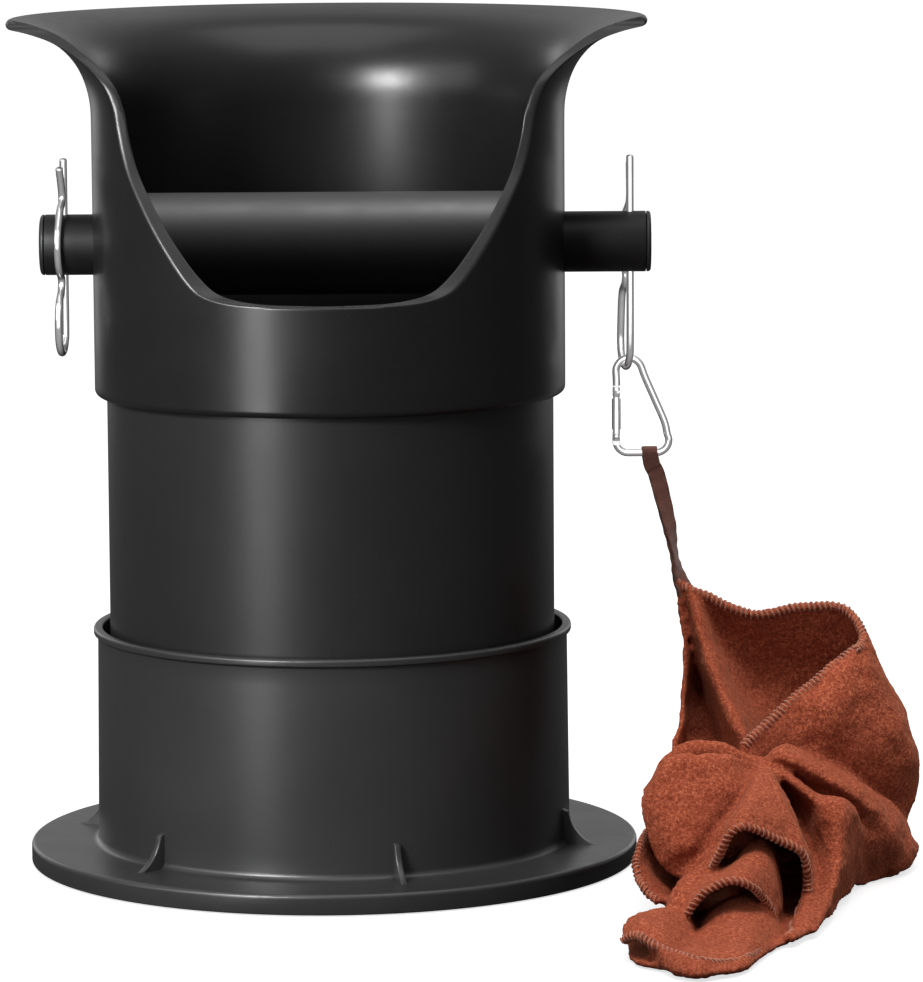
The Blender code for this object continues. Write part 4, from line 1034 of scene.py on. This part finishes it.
def join(obs, name):
    bm = bmesh.new()
    for ob in obs:
        bm.from_mesh(ob.data)
        bpy.data.objects.remove(ob, do_unlink=True)
    mesh = bpy.data.meshes.new(name)
    bm.to_mesh(mesh)
    bm.free()
    return link(bpy.data.objects.new(name, mesh))


towel = join(sheets, "towel")
rem = towel.modifiers.new("skin", "REMESH")
rem.mode = "VOXEL"
rem.voxel_size = 0.95 * MM
modifier_apply(towel)


def relax(ob, rounds, factor):
    """Laplacian smoothing of a mesh, in numpy."""
    n = len(ob.data.vertices)
    co = np.empty(n * 3)
    ob.data.vertices.foreach_get("co", co)
    co = co.reshape(-1, 3)
    e = np.empty(len(ob.data.edges) * 2, int)
    ob.data.edges.foreach_get("vertices", e)
    e = e.reshape(-1, 2)
    deg = np.bincount(e.ravel(), minlength=n)[:, None]
    for k in range(rounds):
        acc = np.zeros_like(co)
        for ax in range(3):
            acc[:, ax] = np.bincount(e[:, 0], co[e[:, 1], ax], n) + np.bincount(e[:, 1], co[e[:, 0], ax], n)
        f = factor if k % 2 == 0 else -factor * 0.92
        co = co + f * (acc / np.maximum(deg, 1) - co)
    ob.data.vertices.foreach_set("co", co.ravel())
    ob.data.update()


relax(towel, 8, 0.5)

# uneven pile: small lumps along the surface, nothing below the table
n_v = len(towel.data.vertices)
co = np.empty(n_v * 3)
towel.data.vertices.foreach_get("co", co)
co = co.reshape(-1, 3)
nr = np.empty(n_v * 3)
towel.data.vertices.foreach_get("normal", nr)
nr = nr.reshape(-1, 3)
bump = np.array([0.42 * noise.noise(Vector(p) * 150.0) + 0.24 * noise.noise(Vector(p) * 380.0 + Vector((5, 1, 2)))
                 + 0.20 * noise.noise(Vector(p) * 700.0 + Vector((1, 8, 3))) for p in co])
co = co + nr * (bump * MM)[:, None]
co[:, 2] = np.maximum(co[:, 2], 0.0003)
towel.data.vertices.foreach_set("co", co.ravel())
towel.data.materials.clear()
towel.data.materials.append(M_TOWEL)
towel.data.shade_smooth()
towel.data.update()
put(towel, "towel", "towel_brown", "towel_cloth")


def overlock(name, pts, pitch=1.9, radius=1.16, thread=0.36):
    """Overlocking thread: a close spiral wound over a turned cloth edge, its loops leaning along it."""
    length = np.linalg.norm(np.diff(np.array(pts), axis=0), axis=1).sum()
    per_turn = 10
    n = int(length / pitch) * per_turn
    path = resample(pts, n)
    t = np.gradient(path, axis=0)
    t /= np.linalg.norm(t, axis=1)[:, None]
    u = np.cross(t, np.array([0.1, 0.9, 0.4]))
    u /= np.linalg.norm(u, axis=1)[:, None]
    w = np.cross(t, u)
    a = 2 * np.pi * np.arange(n) / per_turn
    wob = np.array([noise.noise(Vector(p) * 0.4) for p in path])
    r = radius * (1 + 0.16 * wob)
    spiral = path + u * (np.cos(a) * r)[:, None] + w * (np.sin(a) * r)[:, None]
    spiral += t * (0.45 * np.sin(a))[:, None]
    spiral[:, 2] = np.maximum(spiral[:, 2], thread + 0.2)
    ob = tube(name, spiral, thread, M_THREAD, sides=7)
    return put(ob, "towel", "towel_brown")


for key, path in HEMS.items():
    overlock("hem_thread_" + key, path, radius=HEM_R[key] - 0.07, thread=0.29 * HEM_R[key])


# ---- strap ------------------------------------------------------------------------------------------------
def strap_mesh():
    """Folded tape: a loop round the carabiner's wire, its two layers lying together, one half turn of twist on
    the way down, ending inside the towel's corner."""
    wx, wz = 114.6, 145.0
    corner = np.array(UPPER[0][0])
    r = CARA_R + 0.62
    down = spline([(wx + 0.9, CARA_Y, wz - 4.5), (117.2, CARA_Y - 0.2, 137.0), (119.5, CARA_Y - 0.5, 128.0),
                   (121.7, CARA_Y - 0.7, 118.5), (122.9, CARA_Y - 1.0, 111.0), (124.0, CARA_Y - 1.2, 105.0),
                   (corner[0] + 1.3, corner[1] + 0.8, corner[2] + 1.5), (corner[0] + 4.0, corner[1] + 0.4, corner[2] - 5.0)], 10)
    n = len(down)
    s = np.linspace(0, 1, n)
    half = np.interp(s, [0, 0.12, 0.3, 1.0], [1.3, 0.75, 0.58, 0.55])
    width = np.interp(s, [0, 0.2, 0.42, 0.56, 0.68, 0.8, 1.0], [6.1, 6.0, 5.4, 4.6, 4.4, 5.2, 6.6])
    twist = np.interp(s, [0, 0.2, 0.42, 0.57, 0.66, 0.75, 0.88, 1.0], [2, 8, 34, 60, 68, 58, 30, 20])
    front, back, wid, tw = [], [], [], []
    for i in range(n):
        a = math.radians(twist[i])
        nrm = np.array([math.sin(a) * 0.9, -math.cos(a), 0.0])
        front.append(down[i] + nrm * half[i])
        back.append(down[i] - nrm * half[i])
    top = [(wx + 0.1 * math.cos(b), CARA_Y - r * math.cos(b), wz + r * math.sin(b)) for b in np.linspace(0.05, math.pi - 0.05, 13)]
    path = list(reversed(front)) + top + back
    wid = list(width[::-1]) + [5.6] * 13 + list(width)
    tw = list(twist[::-1]) + [0.0] * 13 + list(twist)
    path = np.array(path)
    tan = np.gradient(path, axis=0)
    tan /= np.linalg.norm(tan, axis=1)[:, None]
    rings = []
    prof = [(-1.0, -0.32), (-0.94, -0.46), (-0.5, -0.5), (0.0, -0.46), (0.5, -0.5), (0.94, -0.46), (1.0, -0.32),
            (1.0, 0.32), (0.94, 0.46), (0.5, 0.5), (0.0, 0.46), (-0.5, 0.5), (-0.94, 0.46), (-1.0, 0.32)]
    for i in range(len(path)):
        a = math.radians(tw[i])
        across = np.array([math.cos(a), math.sin(a), 0.0])
        across -= tan[i] * (across @ tan[i])
        across /= np.linalg.norm(across)
        out = np.cross(tan[i], across)
        crinkle = 0.16 * math.sin(i * 0.9) + 0.1 * noise.noise(Vector(path[i]) * 0.6)
        rings.append([path[i] + across * (x * wid[i] / 2) + out * (y * 0.95 + crinkle * abs(x)) for x, y in prof])
    k = len(prof)
    verts = np.array(rings).reshape(-1, 3) * MM
    faces = grid_faces(len(path), k, False, True)
    faces.append(tuple(range(k)))
    faces.append(tuple(reversed(range((len(path) - 1) * k, len(path) * k))))
    ob = mesh_object("towel_tape", verts, faces, M_STRAP)
    fix_normals(ob)
    sub = ob.modifiers.new("s", "SUBSURF")
    sub.levels = sub.render_levels = 1
    modifier_apply(ob)
    ob.data.shade_smooth()
    return ob


put(strap_mesh(), "towel", "strap_maroon", "towel_strap")


# ---- floor, light, camera ------------------------------------------------------------------------------
def floor_material():
    n = Nodes("studio_floor")
    tone = n.ramp(n.noise(1.2, 3.0), [(0.3, (0.90, 0.90, 0.90)), (0.7, (0.93, 0.93, 0.93))])
    n.link(tone, n.bsdf.inputs["Base Color"])
    n.bsdf.inputs["Roughness"].default_value = 0.9
    n.bsdf.inputs["Specular IOR Level"].default_value = 0.0
    glow = n.node("ShaderNodeEmission")
    glow.inputs["Strength"].default_value = FLOOR_GLOW
    path = n.node("ShaderNodeLightPath")
    add = n.node("ShaderNodeAddShader")
    pick = n.node("ShaderNodeMixShader")
    out = n.tree.nodes["Material Output"]
    n.link(n.bsdf.outputs["BSDF"], add.inputs[0])
    n.link(glow.outputs["Emission"], add.inputs[1])
    n.link(path.outputs["Is Camera Ray"], pick.inputs["Fac"])
    dim = n.node("ShaderNodeBsdfDiffuse")
    dim.inputs["Color"].default_value = (0.13, 0.13, 0.13, 1.0)
    n.link(dim.outputs["BSDF"], pick.inputs[1])
    n.link(add.outputs["Shader"], pick.inputs[2])
    n.link(pick.outputs["Shader"], out.inputs["Surface"])
    return n.mat


FLOOR_GLOW = 0.72
floor = mesh_object("floor", [(-30, -30, -0.0004), (30, -30, -0.0004), (30, 30, -0.0004), (-30, 30, -0.0004)], [(0, 1, 2, 3)],
                    floor_material())
floor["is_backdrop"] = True


def area(name, at, look, size, size_y, power, colour=(1, 1, 1)):
    data = bpy.data.lights.new(name, "AREA")
    data.shape = "RECTANGLE"
    data.size, data.size_y = size, size_y
    data.energy = power
    data.color = colour
    ob = link(bpy.data.objects.new(name, data))
    ob.location = at
    ob.rotation_euler = (Vector(look) - Vector(at)).to_track_quat("-Z", "Y").to_euler()
    ob.visible_camera = False
    return ob


def lit_only(light, name, obs):
    """Limits a light to some pieces, as a flag or snoot would."""
    col = bpy.data.collections.new(name)
    for ob in obs:
        col.objects.link(ob)
    light.light_linking.receiver_collection = col


soft = [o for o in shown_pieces() if body_of(o) == ["towel"]]
bright = [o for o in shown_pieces() if o.active_material in (M_CLIP, M_CARA)]
dark = [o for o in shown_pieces() if o not in soft and o not in bright and o.active_material is not M_RUBBER]
lit_only(area("key_strip", (-0.385, -0.625, 0.24), (0.0, 0.0, 0.24), 0.16, 0.70, 2.75), "lit_key_strip", dark)
lit_only(area("key_soft", (-0.40, -0.62, 0.53), (0.0, 0.05, 0.30), 0.25, 0.17, 5.8), "lit_key_soft", dark)
area("fill_left", (-1.35, -0.62, 0.75), (0.05, -0.05, 0.08), 0.9, 0.8, 3.7)
area("top", (0.10, -0.25, 1.6), (0.08, -0.08, 0.0), 1.3, 1.3, 6.5)
area("edge_right", (0.80, 1.50, 0.40), (0.05, 0.0, 0.15), 0.4, 1.0, 1.3)
area("edge_left", (-0.80, 1.50, 0.40), (0.0, 0.0, 0.10), 0.4, 1.0, 1.4)
lit_only(area("towel_top", (0.02, -0.38, 1.45), (0.16, -0.08, 0.03), 0.5, 0.5, 14.5), "lit_towel_top", soft)
lit_only(area("towel_front", (-0.80, -1.35, 0.50), (0.16, -0.06, 0.06), 0.35, 0.35, 3.2), "lit_towel_front", soft)
lit_only(area("towel_right", (1.35, -0.75, 0.55), (0.17, -0.05, 0.04), 0.5, 0.5, 2.6), "lit_towel_right", soft)
lit_only(area("sleeve_top", (0.06, -0.04, 0.95), (0.0, 0.0, 0.22), 0.25, 0.25, 3.4), "lit_sleeve",
         [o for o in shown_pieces() if o.active_material is M_RUBBER])
lit_only(area("wire_card", (0.1, -1.7, 0.9), (0.0, 0.0, 0.25), 2.4, 2.0, 20.0), "lit_wires", bright)
under_wires = area("wire_floor", (0.0, -0.9, -0.30), (0.0, 0.0, 0.2), 3.0, 2.0, 17.0)
lit_only(under_wires, "lit_wires_low", bright)
under_wires.light_linking.blocker_collection = bpy.data.collections["lit_wires_low"]

world = bpy.data.worlds.new("studio")
scene.world = world
world.use_nodes = True
wt = world.node_tree
bg = wt.nodes["Background"]
coord = wt.nodes.new("ShaderNodeTexCoord")
split = wt.nodes.new("ShaderNodeSeparateXYZ")
wt.links.new(coord.outputs["Generated"], split.inputs["Vector"])
back_ = wt.nodes.new("ShaderNodeMapRange")
back_.interpolation_type = "SMOOTHSTEP"
for k_, v_ in zip(("From Min", "From Max", "To Min", "To Max"), (0.30, 1.0, 0.11, 0.46)):
    back_.inputs[k_].default_value = v_
wt.links.new(split.outputs["Y"], back_.inputs["Value"])
top_ = wt.nodes.new("ShaderNodeMapRange")
top_.interpolation_type = "SMOOTHSTEP"
for k_, v_ in zip(("From Min", "From Max", "To Min", "To Max"), (0.25, 0.95, 0.0, 0.35)):
    top_.inputs[k_].default_value = v_
wt.links.new(split.outputs["Z"], top_.inputs["Value"])
sum_ = wt.nodes.new("ShaderNodeMath")
sum_.operation = "ADD"
wt.links.new(back_.outputs["Result"], sum_.inputs[0])
wt.links.new(top_.outputs["Result"], sum_.inputs[1])
seen_ = wt.nodes.new("ShaderNodeLightPath")
white_ = wt.nodes.new("ShaderNodeMath")
white_.operation = "MULTIPLY"
wt.links.new(seen_.outputs["Is Camera Ray"], white_.inputs[0])
white_.inputs[1].default_value = 1.6
most_ = wt.nodes.new("ShaderNodeMath")
most_.operation = "MAXIMUM"
wt.links.new(sum_.outputs["Value"], most_.inputs[0])
wt.links.new(white_.outputs["Value"], most_.inputs[1])
wt.links.new(most_.outputs["Value"], bg.inputs["Strength"])
bg.inputs["Color"].default_value = (1, 1, 1, 1)

scene.view_settings.view_transform = "Standard"
scene.view_settings.look = "None"

cam_data = bpy.data.cameras.new("camera")
cam_data.lens = 36.0 * 5536.0 / 982.0
cam_data.sensor_width = 36.0
cam_data.clip_start, cam_data.clip_end = 0.1, 100.0
cam = link(bpy.data.objects.new("camera", cam_data))
pitch, roll = 0.1322, -0.0064
fwd = Vector((0, math.cos(pitch), -math.sin(pitch)))
right = Vector((1, 0, 0))
up = right.cross(fwd)
r2 = math.cos(roll) * right + math.sin(roll) * up
u2 = -math.sin(roll) * right + math.cos(roll) * up
cam.matrix_world = Matrix(((r2.x, u2.x, -fwd.x, 0.0468), (r2.y, u2.y, -fwd.y, -1.9735),
                           (r2.z, u2.z, -fwd.z, 0.3947), (0, 0, 0, 1)))
scene.camera = cam
